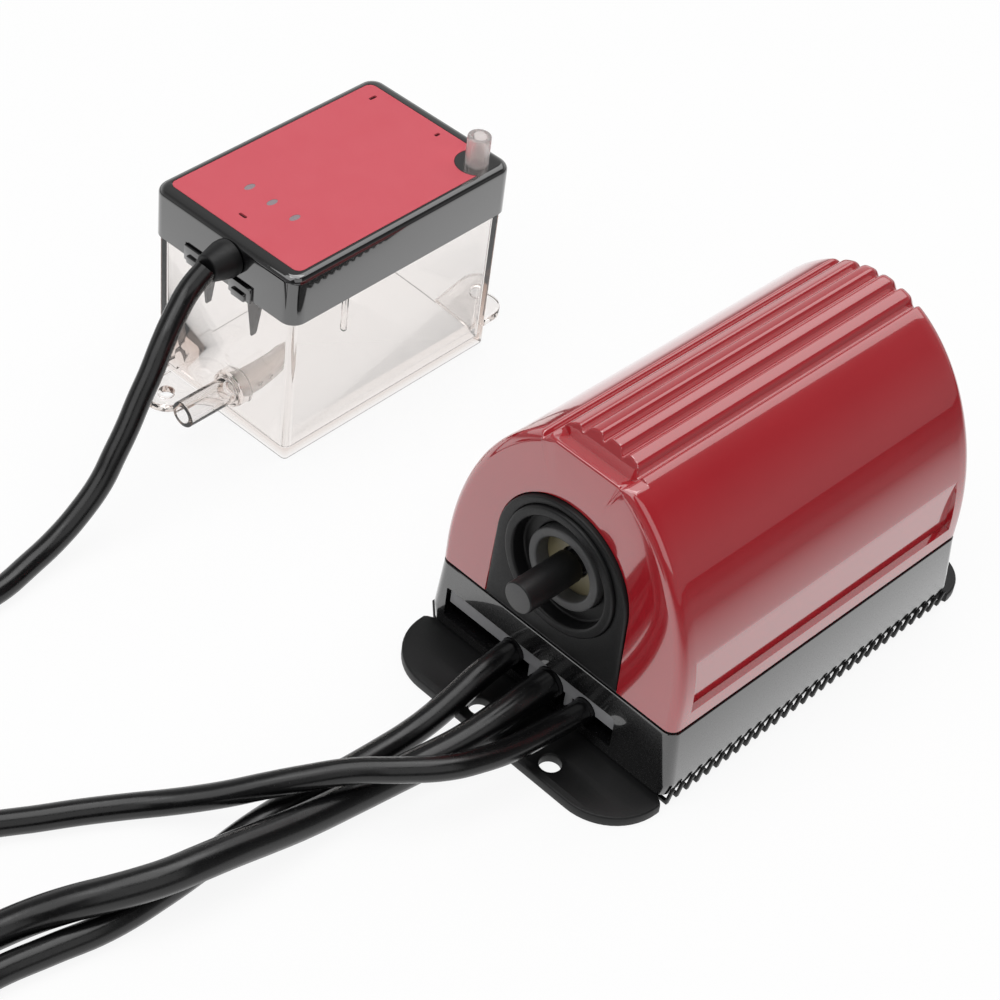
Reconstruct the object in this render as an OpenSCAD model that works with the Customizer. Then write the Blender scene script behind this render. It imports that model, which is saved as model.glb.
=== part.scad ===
// Two-part miniature condensate pump: a red-covered oscillating-piston pump on a
// black base, and a clear reservoir under a sensor lid, joined by their leads.
// Millimetres, +Z up. The origin is on the floor under the middle of the pump.
// The outlet and the leads face -Y. The reservoir stands to the left, at -X.

/* [Pump cover] */
// Width of the cover where it meets the base
cover_w = 76; // [72:1:84]
// Length of the cover and of the base under it
cover_l = 107; // [101:1:125]
// Height of the joint between the base and the cover
seam_z = 24; // [22:1:28]
// Height of the straight foot of the cover, under its arch
cover_foot = 4; // [3:0.5:8]
// Height of the arch above that foot
arch_h = 55; // [53:1:64]
// Thickness of the cover
cover_wall = 2.4; // [1.8:0.1:2.8]
// Rounding of the cover's front and rear edges
edge_r = 3.2; // [2:0.2:4]
// How far the front face leans back, in degrees
front_lean = 1.6; // [0:0.2:2.4]
// Number of cooling grooves along the top
groove_count = 5; // [3:2:7]
// Sideways place of the middle groove
groove_x = -1.5; // [-2:0.1:2]
// Distance between two grooves
groove_pitch = 5.8; // [5.2:0.1:6.4]
// Radius of the groove cutter
groove_r = 2.3; // [1.6:0.1:2.5]
// Depth of a groove below the top
groove_depth = 1.6; // [1:0.1:1.8]
// Height of the flat ledge in front of the grooves, under the top
ledge_drop = 3.4; // [3:0.1:4]
// Length of that ledge
ledge_l = 6.5; // [5:0.5:9]
// Depth of the recessed panel on each side, at its foot
panel_depth = 1.6; // [0.8:0.1:1.8]
// Height of the rim under the side panel
panel_rim = 4.2; // [3:0.2:5]
// Height of the side panel
panel_h = 15; // [10:1:18]
// Distance from the side panel to the cover's ends
panel_margin = 5.5; // [5:0.5:12]

/* [Pump base] */
// Thickness of the base's walls
base_wall = 2.5; // [2:0.1:2.8]
// Thickness of the base's floor
base_floor = 2.5; // [2:0.1:3]
// How far the skirt's foot stands back from the pad's edge, on each side
skirt_back = 0.1; // [0:0.1:1]
// Rounding of the base's upright corners
base_corner_r = 3; // [2:0.5:5]
// Left end of the lead slot, from the middle
slot_left = 34.5; // [33.5:0.1:34.8]
// Right end of the lead slot, from the middle
slot_right = 21.5; // [20.5:0.5:22.5]
// Height of the bottom of the lead slot
slot_z = 6.4; // [6:0.1:7]
// Height of the lead slot
slot_h = 9.4; // [9.2:0.1:11]

/* [Mounting pad] */
// Thickness of the mounting pad
pad_t = 3; // [2.5:0.1:4]
// Width of the mounting pad
pad_w = 79.5; // [78:0.5:82]
// How far the front tab stands out of the base
front_tab = 17.5; // [17:0.5:24]
// How far the rear tab stands out of the base
rear_tab = 11.5; // [11:0.5:20]
// Corner radius of the front tab
front_tab_r = 15; // [8:1:15]
// Corner radius of the rear tab
rear_tab_r = 11; // [8:1:11]
// Diameter of the screw holes in the tabs
pad_hole_d = 5.5; // [4:0.1:6]
// Distance between the two holes of a tab
pad_hole_gap = 23.6; // [20:0.2:30]
// Sideways place of the middle of the holes
pad_hole_x = 2.4; // [0:0.2:4]
// Distance of the front holes from the base
front_hole_out = 12; // [10:0.5:13]
// Distance of the rear holes from the base
rear_hole_out = 5.9; // [5:0.1:7]
// Number of comb ribs on each side
rib_count = 30; // [20:1:30]
// Width of a comb rib
rib_w = 1; // [0.8:0.1:2]
// Thickness of a comb rib outside the skirt
rib_t = 0.8; // [0.6:0.1:1.6]
// Height of the comb ribs at the front
rib_front_h = 6; // [5:0.2:7]
// Height of the comb ribs at the rear
rib_rear_h = 6; // [4:0.2:7]
// How far the pad stands back from the skirt between its tabs
pad_waist = 3.4; // [2:0.2:5]

/* [Pump core] */
// Sideways place of the pump's axis
axis_x = -1.2; // [-2:0.1:2]
// Height of the pump's axis
axis_z = 46.6; // [46:0.2:48]
// Radius of the arch of each end boot
boot_r = 20.5; // [19.5:0.1:21]
// How far the end boots stand out of the end faces
boot_out = 1.2; // [0.6:0.1:2]
// Outer radius of the raised ring on a boot
boot_ring_r = 17; // [16:0.1:17.4]
// Width of that ring
boot_ring_w = 2.6; // [2:0.1:2.8]
// Outer radius of the inner ring of a boot
boot_inner_r = 10.8; // [10:0.1:11.4]
// Radius of the hole through a boot
boot_bore_r = 8.4; // [8:0.1:8.6]
// Outer radius of the two hose spigots
spigot_r = 3; // [2.8:0.1:3.2]
// Radius of the waterway
waterway_r = 1.6; // [1.2:0.1:1.8]
// How far the spigots stand out of the end faces
spigot_out = 14; // [11:0.5:16]
// Wall of the transit cap on the outlet
cap_wall = 1.15; // [0.6:0.05:1.3]
// Radius of the valve block at each end
head_r = 13.5; // [12:0.5:15]
// Inner radius of the piston guide tube
guide_r = 5; // [4.5:0.1:5.4]
// Wall of the piston guide tube
guide_wall = 0.6; // [0.4:0.05:0.8]
// Length of the piston
piston_l = 30; // [26:1:32]
// Travel of the piston to each side
piston_travel = 2.5; // [1.5:0.1:3]
// Outer radius of the coil
coil_r = 17.5; // [15:0.5:18]
// Length of the coil
coil_l = 30; // [26:1:32]
// Thickness of the magnet yoke
yoke_t = 2; // [1.5:0.1:2.5]

/* [Control board] */
// Thickness of the control board
board_t = 1.6; // [1:0.1:2]
// Height of the board above the base's floor
board_lift = 3; // [2:0.1:3.5]
// Length of the board
board_l = 68; // [60:1:72]
// Width of the board
board_w = 50; // [46:1:54]

/* [Leads] */
// Diameter of the sensor lead
sensor_d = 6.2; // [5.6:0.1:6.2]
// Diameter of the mains lead
mains_d = 8.2; // [7.6:0.1:8.2]
// Diameter of the alarm lead
alarm_d = 6.8; // [6.2:0.1:6.8]

/* [Reservoir] */
// Length of the sensor lid
lid_l = 79.4; // [76:0.2:86]
// Width of the sensor lid
lid_w = 52.6; // [50:0.2:58]
// Height of the lid's lower edge
lid_z = 45.8; // [42:0.2:48]
// Height of the lid
lid_h = 15; // [13:0.5:18]
// Thickness of the lid's skirt
lid_wall = 1.2; // [1:0.1:1.4]
// Thickness of the lid's top
lid_top = 2.4; // [2:0.1:3]
// Corner radius of the lid
lid_r = 4.2; // [3:0.2:6]
// Rounding of the lid's top edge
lid_edge = 2; // [1:0.2:2.4]
// Depth of the label's recess
label_t = 0.5; // [0.3:0.1:0.8]
// Gap between the reservoir's rim and the lid's skirt
rim_gap = 0.2; // [0.1:0.05:0.4]
// Thickness of the reservoir's walls
tank_wall = 1.8; // [1.4:0.1:2.4]
// Thickness of the reservoir's floor
tank_floor = 2.6; // [2:0.1:3.5]
// How much narrower the reservoir's foot is on each side
tank_draft = 0.4; // [0:0.1:0.8]
// How far the reservoir's rim goes up into the lid
rim_in = 4; // [3:0.5:6]
// Thickness of the two screw ears
ear_t = 2.4; // [2:0.1:3]
// Diameter of the screw holes in the ears
ear_hole_d = 4.2; // [3.2:0.1:5]
// Outer radius of the reservoir's lower spigot
tank_spigot_r = 3.7; // [3.2:0.1:4]
// Radius of the waterway in it
tank_bore_r = 2.4; // [2:0.1:2.6]
// Height of the lower spigot's axis
tank_spigot_z = 10; // [9.4:0.2:14]
// How far the lower spigot stands out of the lid's end
tank_spigot_out = 14; // [12:0.5:18]
// flat seat round the spigot's foot, past the rim's line
tank_seat = 0.2; // [0.1:0.05:0.5]
// width of that seat
tank_seat_w = 1.3; // [0.8:0.1:2]
// Outer radius of the vent spigot
vent_r = 3.2; // [2.8:0.1:3.4]
// How far the vent spigot stands above the lid
vent_up = 8.6; // [7:0.2:12]

/* [Hidden] */

eps = 0.01;               // overlap that fuses two solids of one piece
gap = 0.15;               // clearance between a piece and its seat
slip = 0.05;              // running clearance of a sliding piece
round_fn = 48;            // steps of a turned surface

// ---- cover, derived
half_w = cover_w/2;
half_l = cover_l/2;
arch_z = seam_z + cover_foot;
cover_top = arch_z + arch_h;
arch_steps = 48;
inner_limit = half_w - panel_depth - cover_wall;
boss_r = 3.6;
boss_in = boss_r + 1;                 // boss axis, inside the cover's wall
boss_x = inner_limit - boss_r + 0.6;
boss_y = half_l - cover_wall - 2*boss_in;
boss_h = 18;
screw_r = 1.5;
screw_head_r = 2.8;
screw_head_h = 2.2;
screw_z = pad_t + 2.2;                // underside of the cover screws' heads

// ---- base, derived
skirt_half = pad_w/2 - skirt_back;    // at the crease, where the skirt is widest
crease_z = pad_t + 4.5;
foot_turn_in = 0.8;                   // how far the skirt turns in below the crease
foot_half = skirt_half - foot_turn_in;
foot_slope = foot_turn_in/(crease_z - pad_t - gap);
base_top_in_w = cover_w - 2*base_wall;
base_foot_in_w = 2*(skirt_half - base_wall) - 0.5;
base_in_l = cover_l - 2*base_wall;
base_in_z = pad_t + base_floor;
pillar_r = 4.6;
board_post_r = 3;
clamp_post_r = 2.8;
small_screw_r = 1;                    // board and clamp screws
small_head_r = 2;
small_head_h = 1.4;

// ---- pad, derived
pad_front_y = -half_l - front_tab;
pad_rear_y = half_l + rear_tab;
front_hole_y = -half_l - front_hole_out;
rear_hole_y = half_l + rear_hole_out;
rib_pitch = (cover_l - 4)/(rib_count - 1);

// ---- pump core, derived, all along Y on the pump's axis
face_y = half_l - 1;                  // end face near the axis, after its lean
boot_back = half_l - cover_wall - 2.4;
boot_drop = 1.6;                      // arch middle below the pump's axis
boot_flare = 0.8;                     // how much wider the boot's foot is, each side
head_l = 19;                          // length of the valve block
inlet_l = 14;                         // length of the inlet block
socket_l = 5;                         // depth of a spigot's socket in its block
seat_t = 2.2;                         // wall that carries a ball's seat
head_y = -boot_back;                  // front end of the valve block
head_back = head_y + head_l;
inlet_y = boot_back;                  // rear end of the inlet block
inlet_front = inlet_y - inlet_l;
guide_socket = 3;                     // depth of the guide tube's sockets
guide_front = head_back - guide_socket;
guide_back = inlet_front + guide_socket;
guide_out_r = guide_r + guide_wall;
piston_r = guide_r - slip;
piston_front = -piston_l/2;
piston_back = piston_l/2;
spring_r = guide_r - 0.5;
spring_wire = 0.7;
ball_r = 1.7;
seat_gap = 0.2;
chamber_r = 2.6;
cap_end_y = -face_y - spigot_out - 1;
bobbin_wall = 1;
flange_t = 1.5;
yoke_half = coil_l/2 + flange_t + gap;
yoke_reach = coil_r + 1.4;

// ---- board, derived
board_z = base_in_z + board_lift;
board_y = 6;                          // middle of the board

// ---- lead exits in the slot: place along X, height, diameter
exit_y = -half_l - 0.5;
sensor_exit = [12, 10.9];
mains_exit = [0.6, 10.8];
alarm_exit = [-12, 11.4];
bush_l = 12;
clamp_t = 4;
clamp_front = -half_l + 0.6;
clamp_left = -slot_left + 0.8;
clamp_right = slot_right - 1.4;
clamp_top = slot_z + slot_h - 0.3;
clamp_h = 4.4;
clamp_post_x = [-5.7, 6.3];
clamp_screw_x = [-20.5, 18.8];
clamp_screw_y = clamp_front + clamp_t + 3.5;
clamp_lug_t = 2;
clamp_screw_l = 6;
clamp_z = clamp_top - clamp_h;

// ---- reservoir, derived; its own frame has X across and Y along the lid
tank_place = [-131.5, -5.2, 0];
tank_turn = 2;
lid_top_z = lid_z + lid_h;
rim_w = lid_w - 2*lid_wall - 2*rim_gap;
rim_l = lid_l - 2*lid_wall - 2*rim_gap;
tank_r = lid_r - lid_wall - rim_gap;
rim_z = lid_z + rim_in;
ear_r = 6;
ear_hole = [[-14, -1], [14, 1]];      // hole along X, and which end it is at
ear_out = [6.5, 9];                   // hole beyond the foot's end
tank_spigot_x = 2.3;
vent_x = lid_w/2 - 6.6;
vent_y = lid_l/2 - 7.6;
gland_x = 3.2;
gland_z = lid_top_z - 5.4;
gland_out = 8;
lead_hole_r = sensor_d/2 + 1;
probe_x = [8, -9];
clip_x = [-9, 7.6];
label_edge = 2.6;
label_cut = 13.5;
sensor_board_z = rim_z + 2;
sensor_board_x = [-lid_w/2 + 8.3, lid_w/2 - 10.3];    // left and right edges
sensor_board_y = [-lid_l/2 + 3.3, lid_l/2 - 19.7];    // front and rear edges
lid_posts = [for (x = [sensor_board_x[0] + 3, sensor_board_x[1] - 3])
             for (y = [sensor_board_y[0] + 4.4, sensor_board_y[1] - 3]) [x, y]];
lid_post_r = 2;
lid_pin_r = 1;
probe_y = -rim_l/2 + tank_wall + 1.4;
probe_t = 1.6;
clip_h = 4.6;
vent_shank_r = vent_r - 0.2;

// ---- routes of the free leads, hand-chosen
sensor_route = [
    [12, exit_y, 10.9], [11.4, -64.5, 11.5], [10.7, -76, 12.5], [9.2, -85, 13.8],
    [6.6, -93, 14.8], [0.6, -102, 15.2], [-6.6, -110, 14.4], [-13.4, -119, 12.4],
    [-18.6, -126, 10.4], [-23.2, -131.8, 8.2], [-28, -137, 6], [-33, -142.5, 4.2],
    [-38, -149, 3.3], [-43.5, -158, 3.2], [-50.2, -170, 3.2], [-57.5, -181, 3.2],
    [-68, -190, 3.4], [-81, -194.5, 4.6], [-95, -191.5, 7.6], [-106, -184, 9.8]
];
mains_route = [
    [0.6, exit_y, 10.8], [0.4, -61, 10.5], [0.2, -68, 9.5], [-1.2, -80, 7.2],
    [-3.6, -91, 5.6], [-5.2, -100, 5], [-6.4, -110, 5.2], [-7.4, -124, 6.8],
    [-8.2, -135, 9], [-8.9, -144, 11], [-9.8, -152, 12.1], [-11.2, -159.5, 12.4],
    [-13.4, -166, 12.2], [-16.4, -172.2, 11.4], [-20.4, -178.8, 9.8], [-24.8, -186, 7],
    [-28.2, -195, 4.8], [-30.4, -206, 4.2], [-31.7, -222, 4.2], [-31.8, -250, 4.2]
];
alarm_route = [
    [-12, exit_y, 11.4], [-12, -59, 11.2], [-12, -65, 10.1], [-12.1, -72, 7.8],
    [-12.3, -79, 5.6], [-12.8, -86, 4.1], [-13.4, -94, 3.5], [-14, -104, 3.5], [-15, -118, 3.5],
    [-15.3, -132, 3.5], [-14.6, -144, 3.5], [-14, -158, 3.5], [-14.6, -174, 3.5],
    [-17.4, -187, 3.5], [-20, -200, 3.5], [-21, -222, 3.5], [-21, -246, 3.5]
];
reservoir_route = [
    [-112.5, -165, 3.2], [-111.2, -147, 3.2], [-110.6, -130.3, 3.7], [-112.1, -119.7, 5],
    [-113.1, -110.6, 7.4], [-113.8, -102.5, 11.6], [-114.6, -95.5, 16.8], [-115.6, -90.6, 22.2],
    [-116.7, -85.7, 27.6], [-118.2, -80.9, 33], [-119.6, -75.9, 38.4], [-121.6, -70.8, 43.6],
    [-124.3, -64.6, 47.8], [-126.5, -58.4, 51.4]
];

// ---- coils: middle, inner radius, step, turns in and out, middle angle, way round
wound_gap = 0.6;
sensor_wind = [[-155, -195], 25.5, 2.5, 2.375, 180, -1];
mains_wind = [[-90, -288], 34, 2.75, 2.5, 90, -1];
alarm_wind = [[24.5, -275], 27, 2.5, 2.75, 0, 1];
wound_steps = 24;
wound_sides = 6;
lead_sides = 8;

// =====================================================================
// Helpers
// =====================================================================

// Turns a shape drawn in X and Z into a bar along Y, from y0 to y1
module along_y(y0, y1) {
    translate([0, y1, 0]) rotate([90, 0, 0]) linear_extrude(height = y1 - y0) children();
}

// A round bar along Y on the pump's axis
module core_bar(r, y0, y1) {
    translate([axis_x, y1, axis_z]) rotate([90, 0, 0]) cylinder(r = r, h = y1 - y0, $fn = round_fn);
}

// A round pipe along Y on the pump's axis
module core_pipe(r_out, r_in, y0, y1) {
    difference() {
        core_bar(r_out, y0, y1);
        core_bar(r_in, y0 - 1, y1 + 1);
    }
}

// Points of a rectangle with round corners, counter-clockwise
function round_rect(w, l, r, n) = [
    for (q = [0:3]) for (i = [0:n])
        let (a = 90*q + 90*i/n,
             cx = (q == 0 || q == 3 ? 1 : -1)*(w/2 - r),
             cy = (q < 2 ? 1 : -1)*(l/2 - r))
        [cx + r*cos(a), cy + r*sin(a)]
];

// The same points at a height
function at_z(points, z) = [for (p = points) [p[0], p[1], z]];

// A solid through rings of points that all have the same number of points
module skin(rings) {
    n = len(rings[0]);
    m = len(rings);
    sides = [
        for (k = [0:m - 2]) for (i = [0:n - 1])
            let (j = (i + 1) % n, a = k*n, b = (k + 1)*n)
            each [[a + i, b + i, b + j], [a + i, b + j, a + j]]
    ];
    polyhedron(
        points = [for (ring = rings) each ring],
        faces = concat([[for (i = [0:n - 1]) i]],
                       sides,
                       [[for (i = [0:n - 1]) m*n - 1 - i]]),
        convexity = 6);
}

function unit(v) = v/norm(v);

// Direction of a route at point i
function heading(p, i) =
    i == 0 ? unit(p[1] - p[0]) :
    i == len(p) - 1 ? unit(p[i] - p[i - 1]) :
    unit(unit(p[i] - p[i - 1]) + unit(p[i + 1] - p[i]));

// Ring of points square to the route at point i. ahead, if given, is the heading there
function tube_ring(p, i, r, n, ref, ahead) =
    let (t = ahead == undef ? heading(p, i) : ahead,
         s = unit(cross(t, ref)),
         u = cross(s, t))
    [for (k = [0:n - 1]) let (a = 360*(k + 0.5)/n) p[i] + r*cos(a)*s + r*sin(a)*u];

// A tube of diameter d along a route. head and tail set the headings of its ends
module tube(p, d, n, ref = [0, 0, 1], head = undef, tail = undef) {
    skin([for (i = [0:len(p) - 1])
        tube_ring(p, i, d/2, n, ref, i == 0 ? head : i == len(p) - 1 ? tail : undef)]);
}

// Point of a coil wound in two layers. turn is 0 where the spiral reverses and climbs
function wound_point(w, d, turn) =
    let (step = d + wound_gap,
         r = w[1] + step*abs(turn),
         a = w[4] + w[5]*360*turn,
         lift = step*min(1, max(0, 2*turn + 0.5)))
    [w[0][0] + r*cos(a), w[0][1] + r*sin(a), d/2 + 0.1 + lift];

// Heading of the coil's ends, tangent to its turns
function wound_tangent(w, turn) =
    let (a = w[4] + w[5]*360*turn) w[5]*[-sin(a), cos(a), 0];

// Every point of a coil, with one diameter of straight lead at each end
function wound_path(w, d) =
    let (steps = ceil((w[2] + w[3])*wound_steps),
         turns = [for (i = [0:steps]) -w[2] + (w[2] + w[3])*i/steps],
         first = wound_point(w, d, -w[2]),
         last = wound_point(w, d, w[3]))
    concat([first - d*wound_tangent(w, -w[2])],
           [for (t = turns) wound_point(w, d, t)],
           [last + d*wound_tangent(w, w[3])]);

module wound(w, d) {
    tube(wound_path(w, d), d, wound_sides, [0, 0, 1], wound_tangent(w, -w[2]), wound_tangent(w, w[3]));
}

// Least distance between turns of a coil, less the lead's diameter
function wound_self_gap(w, d) =
    let (p = wound_path(w, d), n = len(p), skip = 12)
    min([for (i = [0:n - 1 - skip]) for (j = [i + skip:n - 1]) norm(p[i] - p[j])]) - d;

// Moves a shape from the reservoir's frame to the pump's
module at_tank() {
    translate(tank_place) rotate([0, 0, tank_turn]) children();
}

// A closed spring around the Y axis of the pump, as a wound wire
module core_spring(r, wire, y0, y1, curls) {
    steps = curls*8;
    route = [for (i = [0:steps]) let (a = 360*curls*i/steps)
        [axis_x + r*cos(a), y0 + wire/2 + (y1 - y0 - wire)*i/steps, axis_z + r*sin(a)]];
    tube(route, wire, 6, [0, 1, 0]);
}

// =====================================================================
// Pump cover
// =====================================================================

// Half ellipse on a straight foot, drawn in X and Z, shrunk by inset
function arch_points(inset) =
    concat([[half_w - inset, seam_z]],
           [for (i = [0:arch_steps]) let (a = 180*i/arch_steps)
               [(half_w - inset)*cos(a), arch_z + (arch_h - inset)*sin(a)]],
           [[-half_w + inset, seam_z]]);

// Arch along the cover's whole length, with its upright edges rounded and its front leant back
module cover_outside() {
    difference() {
        intersection() {
            along_y(-half_l, half_l) polygon(arch_points(0));
            translate([0, 0, seam_z - 1]) linear_extrude(height = arch_h + cover_foot + 2)
                polygon(round_rect(cover_w, cover_l, edge_r, 5));
        }
        translate([cover_w, 0, 0]) rotate([0, -90, 0]) linear_extrude(height = 2*cover_w)
            polygon([[seam_z + 0.01, -half_l], [cover_top + 1, -half_l + (cover_top - seam_z)*tan(front_lean)],
                     [cover_top + 1, -half_l - 1], [seam_z + 0.01, -half_l - 1]]);
    }
}

// The hollow of the cover, kept inside the side panels
module cover_hollow() {
    inner = [for (p = arch_points(cover_wall)) [min(inner_limit, max(-inner_limit, p[0])), p[1]]];
    foot = [[-inner_limit, seam_z - 1], [inner_limit, seam_z - 1]];
    along_y(-half_l + cover_wall + 1.6, half_l - cover_wall)
        polygon(concat([for (i = [1:len(inner) - 2]) inner[i]], foot));
}

module cover_grooves() {
    y0 = -half_l + ledge_l;
    for (i = [0:groove_count - 1]) {
        x = groove_x + (i - (groove_count - 1)/2)*groove_pitch;
        z = arch_z + arch_h*sqrt(1 - pow(x/half_w, 2)) - groove_depth + groove_r;
        translate([x, half_l + 1, z]) rotate([90, 0, 0])
            cylinder(r = groove_r, h = half_l + 1 - y0, $fn = 24);
    }
}

// Flat cut in front of the grooves, with a sloping rear end
module cover_ledge() {
    z = cover_top - ledge_drop;
    rise = ledge_drop + 1;
    translate([half_w, 0, 0]) rotate([0, -90, 0]) linear_extrude(height = cover_w)
        polygon([[z, -half_l - 1], [z, -half_l + ledge_l], [z + rise, -half_l + ledge_l + rise*1.3],
                 [z + rise, -half_l - 1]]);
}

// Flat panel that leans inwards to its foot
module side_panel_cut(side) {
    z0 = seam_z + panel_rim;
    z1 = z0 + panel_h;
    x0 = half_w - panel_depth;
    x1 = half_w*sqrt(1 - pow((z1 - arch_z)/arch_h, 2));
    along_y(-half_l + panel_margin, half_l - panel_margin)
        polygon([[side*x0, z0], [side*x1, z1], [side*(half_w + 2), z1], [side*(half_w + 2), z0]]);
}

// Outline of an end boot, drawn in X and Z, larger by grow and with its foot at height foot_z
module boot_outline(grow, foot_z) {
    r = boot_r + grow;
    arc = [for (i = [0:32]) let (a = 180*i/32) [axis_x + r*cos(a), axis_z - boot_drop + r*sin(a)]];
    polygon(concat(arc, [[axis_x - r - boot_flare, foot_z], [axis_x + r + boot_flare, foot_z]]));
}

module top_cover() {
    color("#A5232E") difference() {
        union() {
            difference() {
                cover_outside();
                cover_hollow();
            }
            for (sx = [-1, 1]) for (sy = [-1, 1]) cover_boss(sx, sy);
        }
        cover_grooves();
        cover_ledge();
        side_panel_cut(1);
        side_panel_cut(-1);
        along_y(-half_l - 1, -half_l + cover_wall + 3) boot_outline(gap, seam_z - 1);
        along_y(half_l - cover_wall - 1, half_l + 1) boot_outline(gap, seam_z - 1);
        for (sx = [-1, 1]) for (sy = [-1, 1]) translate([sx*boss_x, sy*boss_y, seam_z - 1])
            cylinder(r = screw_r + slip, h = boss_h - 2, $fn = round_fn);
    }
}

// Boss for a cover screw, with a web out to the side wall
module cover_boss(sx, sy) {
    foot = 0.3;
    translate([sx*boss_x, sy*boss_y, seam_z + foot]) cylinder(r = boss_r, h = boss_h - foot, $fn = round_fn);
    translate([sx*(boss_x + 2.4), sy*boss_y, seam_z + boss_h/2 + foot])
        cube([boss_r + 0.6, 2, boss_h - 3*foot], center = true);
}

module cover_screws() {
    color("silver") for (sx = [-1, 1]) for (sy = [-1, 1]) translate([sx*boss_x, sy*boss_y, screw_z]) {
        cylinder(r = screw_head_r, h = screw_head_h, $fn = round_fn);
        cylinder(r = screw_r, h = seam_z - screw_z + boss_h - 5, $fn = round_fn);
    }
}

// =====================================================================
// Pump base
// =====================================================================

module base_tray() {
    color("#1C1B1C") difference() {
        union() {
            difference() {
                skin([at_z(round_rect(2*foot_half, cover_l + 0.4, base_corner_r, 6), pad_t + gap),
                      at_z(round_rect(2*skirt_half, cover_l + 0.4, base_corner_r, 6), crease_z),
                      at_z(round_rect(cover_w, cover_l, base_corner_r, 6), seam_z - gap)]);
                skin([at_z(round_rect(base_foot_in_w, base_in_l, 2, 4), base_in_z),
                      at_z(round_rect(base_top_in_w, base_in_l, 2, 4), seam_z - gap),
                      at_z(round_rect(base_top_in_w, base_in_l, 2, 4), seam_z + 1)]);
            }
            for (sx = [-1, 1]) for (sy = [-1, 1]) translate([sx*boss_x, sy*boss_y, base_in_z - eps])
                cylinder(r = pillar_r, h = seam_z - gap - base_in_z + eps, $fn = round_fn);
            for (p = board_screw_places()) translate([p[0], p[1], base_in_z - eps])
                cylinder(r = board_post_r, h = board_lift + eps, $fn = round_fn);
            for (x = clamp_screw_x) translate([x, clamp_screw_y, base_in_z - eps])
                cylinder(r = clamp_post_r, h = clamp_z - base_in_z, $fn = round_fn);
        }
        // lead slot
        translate([-slot_left, -half_l - 2, slot_z])
            cube([slot_left + slot_right, base_wall + 3, slot_h]);
        // cover screws
        for (sx = [-1, 1]) for (sy = [-1, 1]) translate([sx*boss_x, sy*boss_y, 0]) {
            cylinder(r = screw_r + gap, h = seam_z + 1, $fn = round_fn);
            cylinder(r = screw_head_r + gap, h = screw_z + screw_head_h + gap, $fn = round_fn);
        }
        for (p = board_screw_places()) translate([p[0], p[1], pad_t + 1])
            cylinder(r = small_screw_r + slip, h = board_lift + base_floor, $fn = round_fn);
        for (x = clamp_screw_x) translate([x, clamp_screw_y, clamp_z + clamp_lug_t - clamp_screw_l - 0.5])
            cylinder(r = small_screw_r + slip, h = slot_h, $fn = round_fn);
    }
}

// =====================================================================
// Mounting pad with its combs
// =====================================================================

// Outline of the pad: two tabs with round corners, and a waist between the combs
function pad_outline() =
    let (n = 8, w = pad_w/2, waist = skirt_half - pad_waist)
    concat(
        [for (i = [0:n]) let (a = 90*i/n)
            [w - rear_tab_r + rear_tab_r*cos(a), pad_rear_y - rear_tab_r + rear_tab_r*sin(a)]],
        [for (i = [0:n]) let (a = 90 + 90*i/n)
            [-w + rear_tab_r + rear_tab_r*cos(a), pad_rear_y - rear_tab_r + rear_tab_r*sin(a)]],
        [[-waist, half_l - 1], [-waist, -half_l + 1], [-w + 0.6, -half_l - 0.8], [-w, -half_l - 1.5]],
        [for (i = [0:n]) let (a = 180 + 90*i/n)
            [-w + front_tab_r + front_tab_r*cos(a), pad_front_y + front_tab_r + front_tab_r*sin(a)]],
        [for (i = [0:n]) let (a = 270 + 90*i/n)
            [w - front_tab_r + front_tab_r*cos(a), pad_front_y + front_tab_r + front_tab_r*sin(a)]],
        [[w, -half_l - 1.5], [w - 0.6, -half_l - 0.8], [waist, -half_l + 1], [waist, half_l - 1]]);

// One comb rib: its foot runs out of the pad, and its tooth leans along the
// turned-in edge of the skirt
module comb_rib(side, y, h) {
    x0 = skirt_half - pad_waist - 1;
    x_at = function (z) foot_half + gap + foot_slope*(z - pad_t - gap);
    along_y(y - rib_w/2, y + rib_w/2)
        polygon([[side*x0, 0.2], [side*(x_at(0.2) + rib_t), 0.2], [side*(x_at(h - 0.4) + rib_t), h - 0.4],
                 [side*(x_at(h) + rib_t - 0.3), h], [side*x_at(h), h], [side*x_at(1.2), 1.2], [side*x0, 1.2]]);
}

module mounting_pad() {
    color("#141414") difference() {
        union() {
            linear_extrude(height = pad_t) polygon(pad_outline());
            for (side = [-1, 1]) for (i = [0:rib_count - 1]) {
                y = -half_l + 2 + i*rib_pitch;
                comb_rib(side, y, rib_front_h + (rib_rear_h - rib_front_h)*i/(rib_count - 1));
            }
        }
        for (sx = [-1, 1]) for (y = [front_hole_y, rear_hole_y])
            translate([pad_hole_x + sx*pad_hole_gap/2, y, -1]) cylinder(d = pad_hole_d, h = pad_t + 2, $fn = round_fn);
    }
}

// =====================================================================
// End boots, spigots and pump core
// =====================================================================

// Rubber boot that fills the arch in an end wall and holds a valve block.
// side is -1 at the front and 1 at the rear
module boot(side) {
    out = face_y + boot_out;
    y_face = side < 0 ? [-out, -boot_back] : [boot_back, out];
    y_ring = side < 0 ? [-out - 1, -out + 2] : [out - 2, out + 1];
    y_well = side < 0 ? [-out - 2, -out + 3] : [out - 3, out + 2];
    difference() {
        union() {
            along_y(y_face[0], y_face[1]) boot_outline(0, seam_z + gap);
            core_bar(boot_ring_r, y_ring[0], y_ring[1]);
        }
        difference() {
            core_bar(boot_ring_r - boot_ring_w, y_well[0], y_well[1]);
            core_bar(boot_inner_r, side < 0 ? -out + 0.6 : boot_back - 1, side < 0 ? 0 : out - 0.6);
        }
        core_bar(boot_bore_r, -half_l - 10, half_l + 10);
    }
}

module front_boot() { color("#161617") boot(-1); }

module rear_boot() { color("#161617") boot(1); }

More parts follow.
